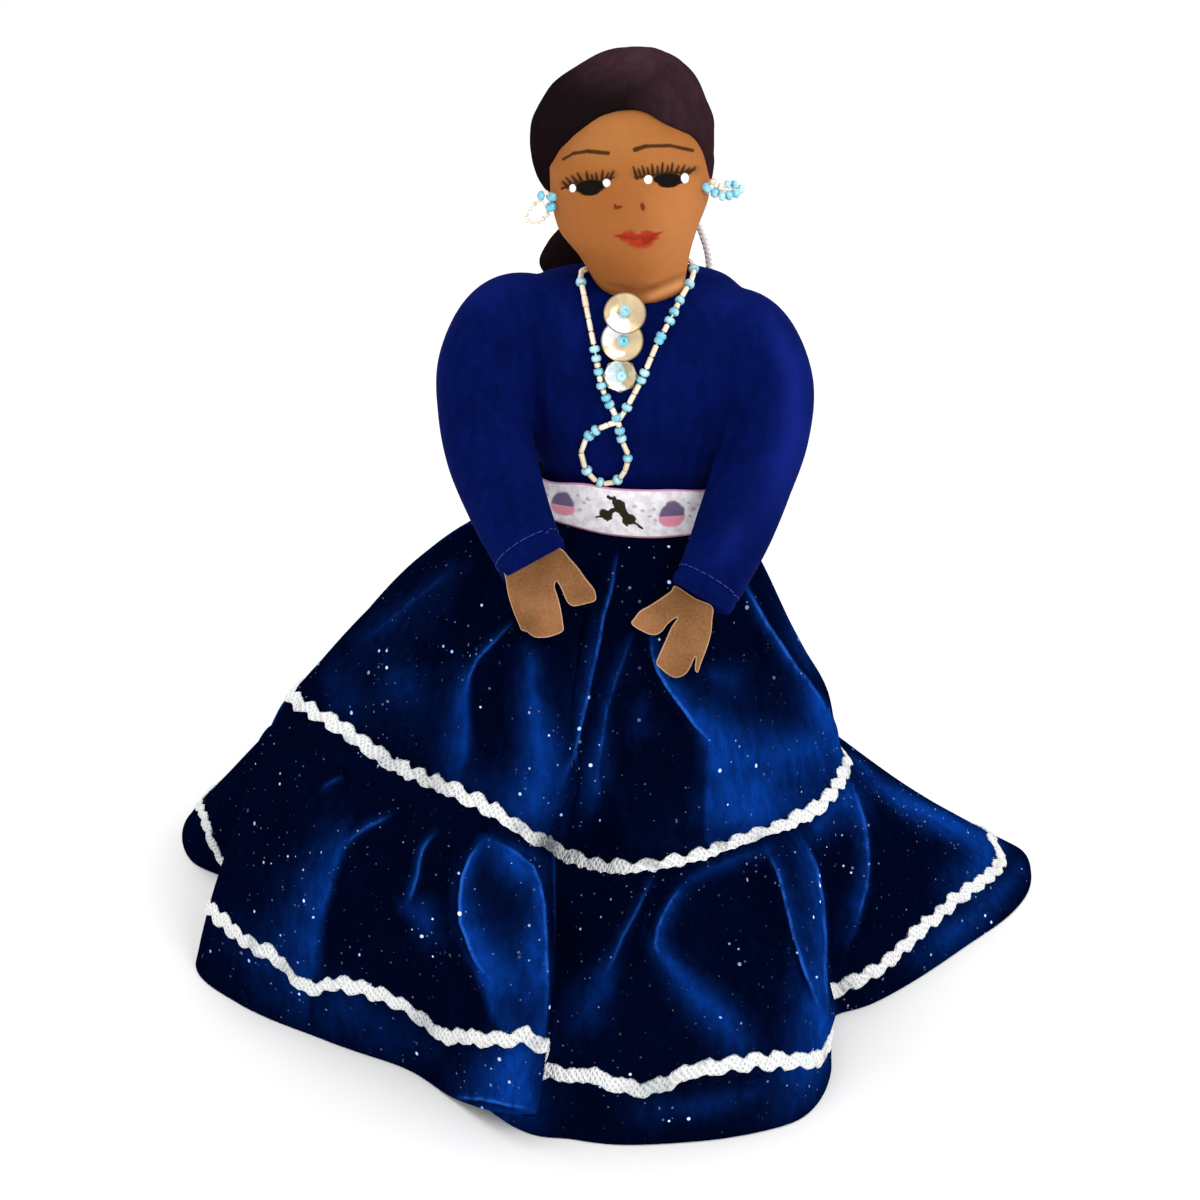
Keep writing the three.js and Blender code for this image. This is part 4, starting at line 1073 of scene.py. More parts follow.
def braid_material(colours):
    material, tree, shader = new_material("metal_thread", Roughness=0.4, Metallic=0.1, Specular_IOR_Level=0.6)
    threads = tree.add("ShaderNodeUVMap", uv_map="UVMap")
    split = tree.add("ShaderNodeSeparateXYZ")
    tree.join(threads.outputs[0], split.inputs[0])
    place = object_place(tree)
    bend = tree.math("MULTIPLY", tree.noise(place, 260.0, 2.0), 7.0)
    slant = tree.math("MULTIPLY_ADD", split.outputs[0], 44.0, tree.math("MULTIPLY_ADD", split.outputs[1], 11.0, bend))
    other = tree.math("MULTIPLY_ADD", split.outputs[0], 31.0, tree.math("MULTIPLY_ADD", split.outputs[1], -12.0, bend))
    plait = tree.math("MAXIMUM", tree.math("SINE", slant), tree.math("SINE", other))
    speckle = tree.noise(place, 900.0, 3.0, 0.7)
    crease = tree.math("MULTIPLY", tree.step(plait, 0.1, -0.5), tree.step(speckle, 0.38, 0.6))
    patch = tree.step(tree.noise(place, 95.0, 2.0), 0.58, 0.72, 0.0, 0.6)
    dark = tree.math("MAXIMUM", tree.math("MULTIPLY", crease, 0.5), tree.math("MULTIPLY", patch, tree.step(speckle, 0.3, 0.6)))
    tint = tree.mix(tree.noise(place, 130.0, 1.0), rgb(244, 252, 253), rgb(255, 248, 247))
    # Painted shade from the folds darkens the braid where the mark is high
    painted_braid_shade = tree.add("ShaderNodeAttribute", attribute_name="painted_braid_shade").outputs["Fac"]
    dark = tree.math("ADD", dark, tree.math("MULTIPLY", painted_braid_shade, tree.math("ADD", speckle, 0.5)), clamp=True)
    tree.join(tree.mix(dark, tint, colours.braid_shade[:]), shader.inputs["Base Color"])
    bumped(tree, shader, tree.math("ADD", plait, speckle), 0.6, 0.0005)
    return material


def bead_material(name, colour, other, metallic, roughness):
    material, tree, shader = new_material(name, Roughness=roughness, Metallic=metallic, Coat_Weight=1.0, Coat_Roughness=0.05)
    place = object_place(tree)
    tree.join(tree.mix(tree.step(tree.noise(place, 240.0, 1.0), 0.35, 0.65), colour, other), shader.inputs["Base Color"])
    tree.join(tree.math("MULTIPLY_ADD", tree.noise(place, 900.0, 2.0), 0.12, roughness - 0.06), shader.inputs["Roughness"])
    return material


def sequin_material(colours):
    material, tree, shader = new_material("metallised_film", Metallic=0.7, Roughness=0.24)
    place = object_place(tree)
    marks = [tree.add("ShaderNodeAttribute", attribute_name=key).outputs["Fac"] for key in ("rim", "glint")]
    film = tree.mix(tree.step(tree.noise(place, 150.0, 2.0), 0.3, 0.7), colours.sequin[:], rgb(242, 216, 172))
    # Painted reflection: the film turns white where the glint mark is high
    film = tree.mix(tree.step(marks[1], -0.1, 0.12), film, rgb(255, 255, 255))
    film = tree.mix(tree.math("MULTIPLY", tree.step(marks[0], 0.35, 0.8), 0.8), film, rgb(112, 92, 56))
    tree.join(film, shader.inputs["Base Color"])
    tree.join(tree.math("MULTIPLY_ADD", tree.noise(place, 500.0, 3.0), 0.25, 0.16), shader.inputs["Roughness"])
    bumped(tree, shader, tree.noise(place, 160.0, 3.0), 0.3, 0.0006)
    return material


def yarn_material(colours):
    material, tree, shader = new_material("wool", Roughness=0.95, Sheen_Weight=0.2)
    uv = tree.add("ShaderNodeUVMap", uv_map="UVMap")
    split = tree.add("ShaderNodeSeparateXYZ")
    tree.join(uv.outputs[0], split.inputs[0])
    twist = tree.math("SINE", tree.math("MULTIPLY_ADD", split.outputs[0], 42.0, tree.math("MULTIPLY", split.outputs[1], 12.566)))
    tone = tree.step(twist, -1.0, 0.3)
    tree.join(tree.mix(tone, colours.yarn_shade[:], colours.yarn[:]), shader.inputs["Base Color"])
    bumped(tree, shader, twist, 0.6, 0.0004)
    return material


def ribbon_material(colours):
    material, tree, shader = new_material("satin_print", Roughness=0.42, Specular_IOR_Level=0.2)
    uv = tree.add("ShaderNodeUVMap", uv_map="UVMap").outputs[0]
    print_ = tree.group("print", Place=uv)
    base = tree.mix(tree.step(tree.noise(uv, 0.35, 4.0), 0.38, 0.66), rgb(255, 255, 255), rgb(232, 222, 234))
    for mask, colour in (("Dots", rgb(172, 170, 192)), ("Mauve", rgb(98, 74, 122)), ("Pink", rgb(238, 150, 178)),
                         ("Sprig", rgb(34, 30, 2)), ("Edge", rgb(212, 146, 182))):
        base = tree.mix(print_.outputs[mask], base, colour)
    tree.join(base, shader.inputs["Base Color"])
    ribs = tree.add("ShaderNodeSeparateXYZ")
    tree.join(uv, ribs.inputs[0])
    rib = tree.math("SINE", tree.math("MULTIPLY", ribs.outputs[0], 18.0))
    bumped(tree, shader, rib, 0.15, 0.0002)
    return material


def print_group():
    """Print of the ribbon, which repeats along it: sprig, dots, half-rounds and edges. Place is in millimetres."""
    tree, inp, out = new_group("print", [("Place", "NodeSocketVector", None)], [
        (name, "NodeSocketFloat") for name in ("Sprig", "Dots", "Pink", "Mauve", "Edge")])
    split = tree.add("ShaderNodeSeparateXYZ")
    tree.join(inp["Place"], split.inputs[0])
    along = tree.math("SUBTRACT", tree.math("FLOORED_MODULO", tree.math("ADD", split.outputs[0], 17.25), 34.5), 17.25)
    join = tree.add("ShaderNodeCombineXYZ")
    tree.join(along, join.inputs[0])
    tree.join(split.outputs[1], join.inputs[1])
    wobble = tree.vector("SCALE", tree.vector("SUBTRACT", tree.noise(inp["Place"], 0.6, 2.0, out=1), (0.5, 0.5, 0.5)), scale=1.1)
    place = tree.vector("MULTIPLY", tree.vector("ADD", join.outputs[0], wobble), (1, 1, 0))

    def most(masks):
        total = masks[0]
        for mask in masks[1:]:
            total = tree.math("MAXIMUM", total, mask)
        return total

    def stroke(start, end, width, taper=0.0):
        return tree.group("stroke", Place=place, Start=(*start, 0), End=(*end, 0), Width=width, Taper=taper, Soft=0.12).outputs[0]

    def oval(centre, radii, turn=0.0, soft=0.12):
        return tree.group("oval", Place=place, Centre=(*centre, 0), Radii=(*radii, 1), Turn=turn, Soft=soft).outputs[0]

    tree.join(most([
        stroke((-2.2, 12.9), (1.2, 11.9), 1.1), stroke((-0.5, 12.7), (0.4, 8.9), 1.5), stroke((0.4, 11.3), (3.4, 6.7), 2.7),
        stroke((0.2, 9.6), (-2.5, 7.4), 1.6), oval((-3.1, 6.9), (2.1, 1.7), 0.3), oval((4.1, 6.1), (2.2, 1.9), -0.4),
        stroke((-4.2, 6.2), (-6.1, 5.3), 1.0, 0.4), stroke((5.5, 5.2), (8.1, 3.3), 1.0, 0.4), oval((1.5, 10.3), (1.3, 1.9), 0.3),
        stroke((-1.6, 6.0), (-2.8, 4.8), 0.8, 0.4), stroke((2.4, 5.2), (3.4, 3.9), 0.9, 0.4)]), out["Sprig"])
    dots = [(-10.0, 9.4), (-8.6, 10.8), (5.6, 10.6), (8.2, 9.2), (10.4, 7.4), (-11.2, 6.8), (11.4, 9.8), (-12.0, 11.6), (12.0, 6.0)]
    tree.join(tree.math("MULTIPLY", most([oval(dot, (0.7, 0.6), 0, 0.3) for dot in dots]), 0.7), out["Dots"])
    sides = (-17.25, 17.25)
    below = tree.step(split.outputs[1], 7.3, 7.0)
    above = tree.step(split.outputs[1], 7.0, 7.3)
    pink = most([oval((side, 6.9), (4.3, 3.6)) for side in sides])
    mauve = most([oval((side, 7.2), (4.1, 5.2), 0.05) for side in sides])
    tree.join(tree.math("MULTIPLY", pink, below), out["Pink"])
    tree.join(tree.math("MULTIPLY", tree.math("MULTIPLY", mauve, above), 0.94), out["Mauve"])
    low = tree.step(split.outputs[1], 0.75, 0.35)
    high = tree.step(split.outputs[1], 15.25, 15.65)
    tree.join(tree.math("MAXIMUM", low, high), out["Edge"])


def thread_material(name, colour):
    material, tree, shader = new_material(name, Roughness=0.7)
    place = object_place(tree)
    tree.join(tree.mix(tree.noise(place, 1200.0, 2.0), colour, rgb(28, 44, 112)), shader.inputs["Base Color"])
    return material


def floor_material():
    material, tree, shader = new_material("pale_floor", Roughness=0.9)
    place = object_place(tree)
    tree.join(tree.mix(tree.noise(place, 12.0, 2.0), rgb(251, 251, 251), rgb(254, 254, 254)), shader.inputs["Base Color"])
    return material


def finishes():
    """All materials of the doll, made once."""
    if "glitter_velvet" in bpy.data.materials and "face" in bpy.data.node_groups:
        return bpy.data.materials
    colours = bpy.context.scene.doll_colours
    for make in (pile_group, weave_group, glitter_group, stroke_group, oval_group, face_group, print_group):
        make()
    velvet_material(colours)
    velveteen_material(colours)
    skin_material(colours)
    hair_material(colours)
    felt_material("hand_felt", rgb(112, 76, 45), rgb(156, 108, 72))
    felt_material("cut_edge", rgb(172, 132, 98), rgb(200, 164, 128))
    braid_material(colours)
    bead_material("turquoise_glass", colours.turquoise[:], rgb(190, 234, 244), 0.0, 0.22)
    bead_material("gold_glass", colours.gold[:], rgb(255, 246, 228), 0.0, 0.25)
    sequin_material(colours)
    yarn_material(colours)
    ribbon_material(colours)
    thread_material("blue_thread", rgb(52, 66, 156))
    floor_material()
    return bpy.data.materials


# Pieces

def drawing_map(piece):
    """A second UV map that holds each corner's place in the view, for drawings."""
    places = seen_at(points_of(piece)) / VIEW
    layer = piece.data.uv_layers.get("drawing") or piece.data.uv_layers.new(name="drawing")
    corner = np.zeros(len(piece.data.loops), int)
    piece.data.loops.foreach_get("vertex_index", corner)
    layer.data.foreach_set("uv", places[corner].astype(np.float32).ravel())


def press_folds(piece, folds):
    """Moves the points of a piece along their normals where folds are drawn."""
    points, normals = points_of(piece), normals_of(piece)
    to_camera = CAMERA_AT * MM - points
    to_camera /= np.linalg.norm(to_camera, axis=1)[:, None]
    facing = smooth(0, 0.3, (normals * to_camera).sum(1))
    lift = pressed(seen_at(points), facing, folds)
    move_points(piece, points + normals * (lift * MM)[:, None])


class DOLL_OT_stage(bpy.types.Operator):
    """Add the floor, the soft studio light and the camera"""
    bl_idname = "doll.stage"
    bl_label = "Stage"

    def execute(self, context):
        bpy.ops.object.select_all(action="DESELECT")
        bpy.ops.object.camera_add(location=CAMERA_AT * MM)
        camera = context.view_layer.objects.active
        aim = Vector(CAMERA_AIM - CAMERA_AT)
        camera.rotation_euler = aim.to_track_quat("-Z", "Y").to_euler()
        camera.data.sensor_width = 36
        camera.data.lens = FOCAL / VIEW * 36
        camera.data.clip_start, camera.data.clip_end = 0.02, 20
        context.scene.camera = camera

        bpy.ops.mesh.primitive_plane_add(size=6, location=(0, 0, -0.0004))
        floor = context.view_layer.objects.active
        floor.name = "floor"
        dress(floor, finishes()["pale_floor"])

        world = bpy.data.worlds.new("studio")
        context.scene.world = world
        world.use_nodes = True
        world.node_tree.nodes["Background"].inputs[0].default_value = (1, 1, 1, 1)
        world.node_tree.nodes["Background"].inputs[1].default_value = 0.95
        context.scene.view_settings.view_transform = "Standard"
        for name, place, size, power in (
                ("key", (0.6, -0.9, 1.1), 0.5, 5.5), ("top", (-0.2, 0.2, 1.6), 1.2, 4)):
            bpy.ops.object.light_add(type="AREA", location=place)
            light = context.view_layer.objects.active
            light.name = name
            light.data.size = size
            light.data.energy = power
            light.rotation_euler = (Vector((0, 0, 0.14)) - Vector(place)).to_track_quat("-Z", "Y").to_euler()
        return {"FINISHED"}


YARN_ROUTE = [
    (2.2, 30.4, 255), (6, 31, 256), (10, 31, 256.6), (14, 30.2, 255.6), (17.6, 28.8, 252.8), (20.2, 27.2, 248.8),
    (22.2, 25.6, 244.2), (23.6, 24.2, 239.4), (24.2, 23.2, 234.4), (24.2, 22.8, 229.4), (23.6, 22.8, 224.4),
    (22.4, 22.8, 219.6), (20.8, 22.8, 215), (18.8, 22.8, 210.6), (16.6, 22.8, 206.6),
]


class DOLL_OT_yarn(bpy.types.Operator):
    """Add the yarn that ties the bun, with its loose end"""
    bl_idname = "doll.yarn"
    bl_label = "Yarn"

    def execute(self, context):
        route = open_spline(mm(YARN_ROUTE), 60)
        random = np.random.default_rng(5)
        fuzz = 1 + 0.06 * random.standard_normal(len(route))
        radius = np.full(len(route), 1.1 * MM) * fuzz
        radius[-1] *= 0.6
        tail = tube("yarn_tail", route, radius, 10)
        dress(tail, finishes()["wool"])
        belongs(tail, "yarn", "bun_tie_tail")
        turns, count = 3, 40
        angle = np.linspace(0, 2 * math.pi * turns, turns * count)
        rise = np.linspace(253.2, 256.8, turns * count)
        x = -8 + (7.2 + 0.3 * np.sin(angle * 1.7)) * np.cos(angle)
        y = 29.5 + 5.5 * np.sin(angle)
        wound = tube("bun_tie_yarn", mm(np.stack([x, y, rise], -1)), 1.15 * MM, 8)
        dress(wound, finishes()["wool"])
        belongs(wound, "yarn", "bun_tie")
        return {"FINISHED"}


class DOLL_OT_head(bpy.types.Operator):
    """Add the stuffed head with its painted face"""
    bl_idname = "doll.head"
    bl_label = "Head"

    def execute(self, context):
        head = stuffed("head_cloth", HEAD_LEVELS, 120, 110)
        press_folds(head, [([(632, 300), (655, 297), (675, 290), (692, 280)], 1.3, 5, 5),
                           ([(600, 283), (620, 291), (640, 294)], 0.6, 5, 5),
                           ([(640, 283), (662, 283), (684, 272)], 0.5, 4, 4)])
        # Painted shade and painted highlight at the chin, as marks on the points
        places = seen_at(points_of(head))
        for key, marks in (("painted_chin_shade", CHIN_PAINTED_SHADE), ("painted_chin_highlight", CHIN_PAINTED_HIGHLIGHT)):
            plain = np.ones(len(places))
            for line, reach, strength in marks:
                distance, _, along = line_distance(places, line)
                ends = smooth(-0.15, 0.2, along) * smooth(1.15, 0.8, along)
                plain *= 1 - strength * ends * np.exp(-(distance / reach) ** 2)
            set_mark(head, key, 1 - plain)
        shade_smooth(head)
        drawing_map(head)
        dress(head, finishes()["painted_cotton"])
        belongs(head, "skin", "head")
        return {"FINISHED"}


# Lower edge of the hair over the forehead, in view units
HAIRLINE = [
    (546, 180), (551, 165), (560, 150), (574, 136), (591, 122.5), (603, 115), (619, 110.5), (636, 109.5),
    (648, 113), (662, 122.5), (676, 129), (690, 135), (698, 143), (704, 156), (707, 170), (709, 179.5),
]


def on_head(x, y):
    """Side and height, in mm from the axis, of the place of the head seen at x, y in the view."""
    start, direction = sight(x, y)
    reach = np.linspace(0.60, 0.74, 1400)[:, None]
    places = (np.array(start) + reach * np.array(direction)) / MM - AXIS
    level = level_at(HEAD_LEVELS, places[:, 2])
    depth = ((places[:, 0] - level[:, 3]) / level[:, 1]) ** 2 + ((places[:, 1] - level[:, 4]) / level[:, 2]) ** 2
    hit = np.argmax(depth < 1) if (depth < 1).any() else np.argmin(depth)
    return places[hit, 0], places[hit, 2]


def hair_edge(x, y):
    """Height of the lower edge of the hair where the head is at x, y."""
    line = np.array([(-30, 263)] + [on_head(*place) for place in HAIRLINE] + [(29, 263)])
    front = np.interp(x, line[:, 0], line[:, 1])
    back = np.interp(y, [1, 8, 14, 18], [264, 262, 256, 249])
    return np.where(y < 1, front, back)


class DOLL_OT_hair(bpy.types.Operator):
    """Add the cap of dark hair and the bun at the nape"""
    bl_idname = "doll.hair"
    bl_label = "Hair"

    def execute(self, context):
        sides, rows = 150, 70
        turn = np.arange(sides) * 2 * math.pi / sides
        heights = np.linspace(248.6, 308.2, 400)
        level = level_at(HEAD_LEVELS, np.minimum(heights, 305.6))
        edge = np.zeros(sides)
        x, y = rounded(turn[:, None], level[None, :, 1], level[None, :, 2])
        lowest = hair_edge(x + level[None, :, 3], y + level[None, :, 4])
        for i in range(sides):
            free = heights < lowest[i]
            edge[i] = heights[free].max() if free.any() else heights[0]
        edge = (np.roll(edge, 1) + 2 * edge + np.roll(edge, -1)) / 4
        share = np.linspace(0, 1, rows) ** 0.8
        z = edge[None] + (308.7 - edge[None]) * np.sin(share * math.pi / 2)[:, None]
        outer_level = level_at(HAIR_LEVELS, z)
        inner_level = level_at(HEAD_LEVELS, np.minimum(z, 305.6))
        x, y = rounded(turn[None], outer_level[..., 1], outer_level[..., 2])
        outer = np.stack([x + outer_level[..., 3], y + outer_level[..., 4], z], -1)
        x, y = rounded(turn[None], inner_level[..., 1] - 0.4, inner_level[..., 2] - 0.4)
        inner = np.stack([x + inner_level[..., 3], y + inner_level[..., 4], np.minimum(z, 306.4)], -1)
        run = np.concatenate([np.zeros((1, sides)), np.cumsum(np.linalg.norm(np.diff(outer, axis=0), axis=2), 0)])
        lip = np.sqrt(1 - (1 - np.clip(run / 5.5, 0, 1)) ** 2)[..., None]
        outer = inner + (outer - inner) * np.maximum(lip, 0.12)
        middle = np.array([0, 1, 280])
        ruffle = 0.5 * np.sin(5 * turn + 0.11 * z) + 0.4 * np.sin(9 * turn - 0.23 * z + 1) + 0.25 * np.sin(17 * turn + 0.4 * z)
        away = (outer - middle) / np.linalg.norm(outer - middle, axis=-1)[..., None]
        outer += away * (0.5 * ruffle * smooth(1, 9, run) * smooth(308.7, 303, z))[..., None]
        points = np.concatenate([outer.reshape(-1, 3), inner.reshape(-1, 3), [[1.2, 1.0, 308.9], [0.8, 1.0, 305.8]]])
        faces = grid_faces(rows, sides).tolist()
        shift = rows * sides
        faces += (grid_faces(rows, sides)[:, ::-1] + shift).tolist()
        top, crown = (rows - 1) * sides, 2 * shift
        for j in range(sides):
            k = (j + 1) % sides
            faces += [[j, j + shift, k + shift, k], [top + j, top + k, crown], [top + k + shift, top + j + shift, crown + 1]]
        hair = new_piece("hair_cap", mm(points), faces)
        face_outwards(hair)
        apply_modifier(hair, "SMOOTH", factor=0.5, iterations=2)
        shade_smooth(hair)
        dress(hair, finishes()["dark_plush"])
        belongs(hair, "hair", "hair")

        bun = stuffed("bun_cloth", BUN_LEVELS, 90, 90)
        points = points_of(bun)
        local = points / MM - AXIS
        angle = np.arctan2(local[:, 1] - 29.5, local[:, 0] + 8)
        pinch = np.exp(-((local[:, 2] - 255) / 9) ** 2)
        out = np.stack([np.cos(angle), np.sin(angle), 0 * angle], -1)
        move_points(bun, points + out * (0.45 * np.sin(angle * 14) * pinch * smooth(0, 3, np.abs(local[:, 2] - 255)) * MM)[:, None])
        shade_smooth(bun)
        dress(bun, finishes()["dark_plush"])
        belongs(bun, "hair", "hair_bun")
        return {"FINISHED"}


def sleeve_piece(name, stops, sides=64, rows=90):
    """A stuffed sleeve from inside the body down to its cuff."""
    stops = np.asarray(stops, float)
    fine = open_spline(stops[:, :3], rows)
    run = run_of(stops[:, :3])
    at = np.linspace(0, 1, rows)
    half = np.stack([np.interp(at, run / run[-1], stops[:, k]) for k in (3, 4)], -1)
    for _ in range(6):
        half[1:-1] = (half[:-2] + 2 * half[1:-1] + half[2:]) / 4
    along = np.gradient(fine, axis=0)
    along /= np.linalg.norm(along, axis=1)[:, None]
    across = np.cross([0.0, 1.0, 0.0], along)
    across /= np.linalg.norm(across, axis=1)[:, None]
    through = np.cross(along, across)
    angle = np.arange(sides) * 2 * math.pi / sides
    x, y = rounded(angle[None], half[:, :1], half[:, 1:])
    points = fine[:, None] + across[:, None] * x[..., None] + through[:, None] * y[..., None]
    points = np.concatenate([points.reshape(-1, 3), [fine[0], fine[-1]]])
    faces = grid_faces(rows, sides).tolist()
    top, end = rows * sides, (rows - 1) * sides
    for j in range(sides):
        k = (j + 1) % sides
        faces += [[j, top, k], [end + k, top + 1, end + j]]
    piece = new_piece(name, mm(points), faces)
    face_outwards(piece)
    cuff = (fine[-1], along[-1], across[-1], through[-1], half[-1])
    return piece, cuff


# Painted highlights on the blouse: line in view units, reach to its left and right, and strength
BLOUSE_PAINTED_HIGHLIGHTS = [
    ([(770, 318), (795, 370), (796, 430), (775, 500)], 16, 14, 0.5), ([(700, 300), (750, 305)], 16, 16, 0.2),
    ([(720, 560), (745, 520)], 12, 14, 0.25), ([(470, 305), (500, 290)], 14, 14, 0.12), ([(560, 300), (575, 350)], 16, 16, 0.12),
]


class DOLL_OT_blouse(bpy.types.Operator):
    """Add the stuffed blouse with its sleeves and stitched cuffs"""
    bl_idname = "doll.blouse"
    bl_label = "Blouse"

    def execute(self, context):
        body = stuffed("blouse_body", BODY_LEVELS, 96, 90, 2.3)
        right, right_cuff = sleeve_piece("sleeve_r", SLEEVES["right"])
        left, left_cuff = sleeve_piece("sleeve_l", SLEEVES["left"])
        blouse = join_pieces("blouse_cloth", [right, left, body])
        apply_modifier(blouse, "REMESH", mode="VOXEL", voxel_size=0.0009)
        apply_modifier(blouse, "SMOOTH", factor=0.5, iterations=5)
        points, normals = points_of(blouse), normals_of(blouse)
        local = points / MM - AXIS
        lift = np.zeros(len(points))
        threads = []
        for centre, along, across, through, half in (right_cuff, left_cuff):
            down = (local - centre) @ along
            near = np.linalg.norm(local - centre, axis=1) < 22
            lift -= np.where(near, 0.45 * np.exp(-((down + 4.6) / 0.7) ** 2), 0)
            lift += np.where(near, 0.25 * smooth(-4.2, -2.5, down), 0)
        move_points(blouse, points + normals * (lift * MM)[:, None])
        press_folds(blouse, [([(772, 322), (752, 380), (728, 440), (700, 500)], -1.6, 7, 10),
                             ([(528, 330), (530, 390), (545, 450), (560, 500)], -1.3, 9, 7),
                             ([(505, 455), (530, 470), (550, 492)], -0.6, 8, 8),
                             ([(745, 470), (725, 485), (706, 510)], -0.6, 8, 8)])
        # Painted highlight: drawn bright patches, and a painted sheen that grows where the cloth is seen edge-on from
        # the camera
        points, normals = points_of(blouse), normals_of(blouse)
        to_camera = CAMERA_AT * MM - points
        to_camera /= np.linalg.norm(to_camera, axis=1)[:, None]
        across = 1 - np.abs((normals * to_camera).sum(1))
        blouse_painted_highlight = painted_highlight_at(seen_at(points), smooth(0, 0.3, (normals * to_camera).sum(1)), BLOUSE_PAINTED_HIGHLIGHTS)
        set_mark(blouse, "shine", np.clip(blouse_painted_highlight + 0.15 * across, 0, 1))
        surface = Surface(blouse)
        for centre, along, across, through, half in (right_cuff, left_cuff):
            for i in range(26):
                angle = (i + 0.5) * 2 * math.pi / 26
                ends = []
                for turn in (angle - 0.095, angle + 0.095):
                    ring = centre - along * 4.6 + across * (half[0] + 2) * math.cos(turn) + through * (half[1] + 2) * math.sin(turn)
                    ends.append(surface.nearest(mm(ring), 0.0001))
                threads.append(tube(f"stitch_{len(threads)}", np.linspace(*ends, 3), 0.00014, 5))
        shade_smooth(blouse)
        dress(blouse, finishes()["blouse_velveteen"])
        for thread in threads:
            dress(thread, finishes()["blue_thread"])
        stitches = join_pieces("cuff_stitches", threads)
        belongs(blouse, "velveteen", "blouse")
        belongs(stitches, "velveteen")
        return {"FINISHED"}


# Outlines of the hands in the view, with the wrist and the slant of the felt
HANDS = {
    "right": ((-29, -42.5, 166), [
        (505, 566), (505.7, 578.6), (508.6, 595.7), (513.6, 611.4), (518.6, 622.9), (521.4, 629.3), (527.1, 631.4),
        (534.3, 636.4), (542.9, 637.1), (551.4, 635.7), (562.9, 630.7), (562.9, 622.9), (560.7, 608.6), (557.9, 597.1),
        (555, 588.6), (555, 582.9), (557.1, 581.4), (561.4, 588.6), (567.1, 601.4), (572.9, 605.7), (580, 605),
        (588.6, 602.9), (595.7, 600), (595, 591.4), (591.4, 585.7), (585.7, 578.6), (578.6, 568.6), (570, 558.6),
        (560, 548), (545, 548), (525, 556)]),
    "left": ((20.4, -44, 154.6), [
        (676, 586), (670.7, 591.4), (658.6, 600), (648.6, 606.4), (640, 611.4), (634.3, 618.6), (631.4, 622.9),
        (635, 627.1), (642.9, 631.4), (650, 634.3), (657.1, 634.3), (662.9, 630), (667.1, 624.3), (675, 617.9),
        (677.1, 618.6), (671.4, 627.1), (665.7, 640), (660, 652.9), (656.4, 662.9), (661.4, 668.6), (668.6, 674.3),
        (675.7, 677.1), (684.3, 674.3), (690, 667.1), (694.5, 657), (695.7, 658), (694.8, 669), (697.9, 671.4),
        (701.4, 661.4), (706.4, 648.6), (710.7, 634.3), (712.1, 620), (712, 606), (695, 598)]),
}
HAND_SLANT = 0.39


class DOLL_OT_hands(bpy.types.Operator):
    """Add the two hands cut from felt"""
    bl_idname = "doll.hands"
    bl_label = "Hands"

    def execute(self, context):
        for side, (wrist, outline) in HANDS.items():
            normal = np.array([0, -1, HAND_SLANT]) / math.hypot(1, HAND_SLANT)
            anchor = np.array(wrist) + AXIS
            ring = []
            for x, y in outline:
                start, direction = sight(x, y)
                start, direction = np.array(start) / MM, np.array(direction)
                ring.append(start + direction * ((anchor - start) @ normal) / (direction @ normal))
            ring = np.array(ring)
            fine = closed_spline(ring, len(ring) * 4)
            hand = new_piece(f"{side}_hand_felt", fine * MM, [list(range(len(fine)))])
            if np.array(hand.data.polygons[0].normal) @ normal < 0:
                hand.data.flip_normals()
            select_only(hand)
            bpy.ops.object.mode_set(mode="EDIT")
            bpy.ops.mesh.select_all(action="SELECT")
            bpy.ops.mesh.inset(thickness=0.00025, depth=0)
            bpy.ops.object.mode_set(mode="OBJECT")
            dress(hand, finishes()["hand_felt"], finishes()["cut_edge"])
            for polygon in hand.data.polygons:
                polygon.material_index = 1 if len(polygon.vertices) == 4 else 0
            apply_modifier(hand, "TRIANGULATE")
            apply_modifier(hand, "SOLIDIFY", thickness=0.002, offset=-0.0, material_offset_rim=1, use_even_offset=False)
            points = points_of(hand)
            local = points / MM - anchor
            reach = np.clip(-local[:, 2] / 25, 0, 1.4)
            move_points(hand, points + np.outer(0.9 * reach ** 2 - 0.5 * (local[:, 0] / 12) ** 2 * 0.6, normal) * MM)
            select_only(hand)
            bpy.ops.object.shade_smooth_by_angle(angle=math.radians(40))
            belongs(hand, "felt", f"{side}_hand")
        return {"FINISHED"}


class DOLL_OT_skirt(bpy.types.Operator):
    """Add the two gathered tiers of glittering velvet"""
    bl_idname = "doll.skirt"
    bl_label = "Skirt"

    def execute(self, context):
        sizes = context.scene.doll_sizes
        upper = tier_piece("skirt_top_cloth", upper_cloth(), sizes.velvet_wall)
        lower = tier_piece("skirt_bottom_cloth", lower_cloth(), sizes.velvet_wall)
        for piece, node in ((upper, "skirt_upper_tier"), (lower, "skirt_lower_tier")):
            dress(piece, finishes()["glitter_velvet"])
            belongs(piece, "velvet", node)
        return {"FINISHED"}


def upper_cloth():
    return tier_cloth(upper_columns, UPPER_FOLDS, UPPER_PAINTED_HIGHLIGHTS, 3, 6.5, 1.1, 0.8)


def lower_cloth():
    return tier_cloth(lower_columns, LOWER_FOLDS, LOWER_PAINTED_HIGHLIGHTS, 8, 9.0, 1.9, 0.75)


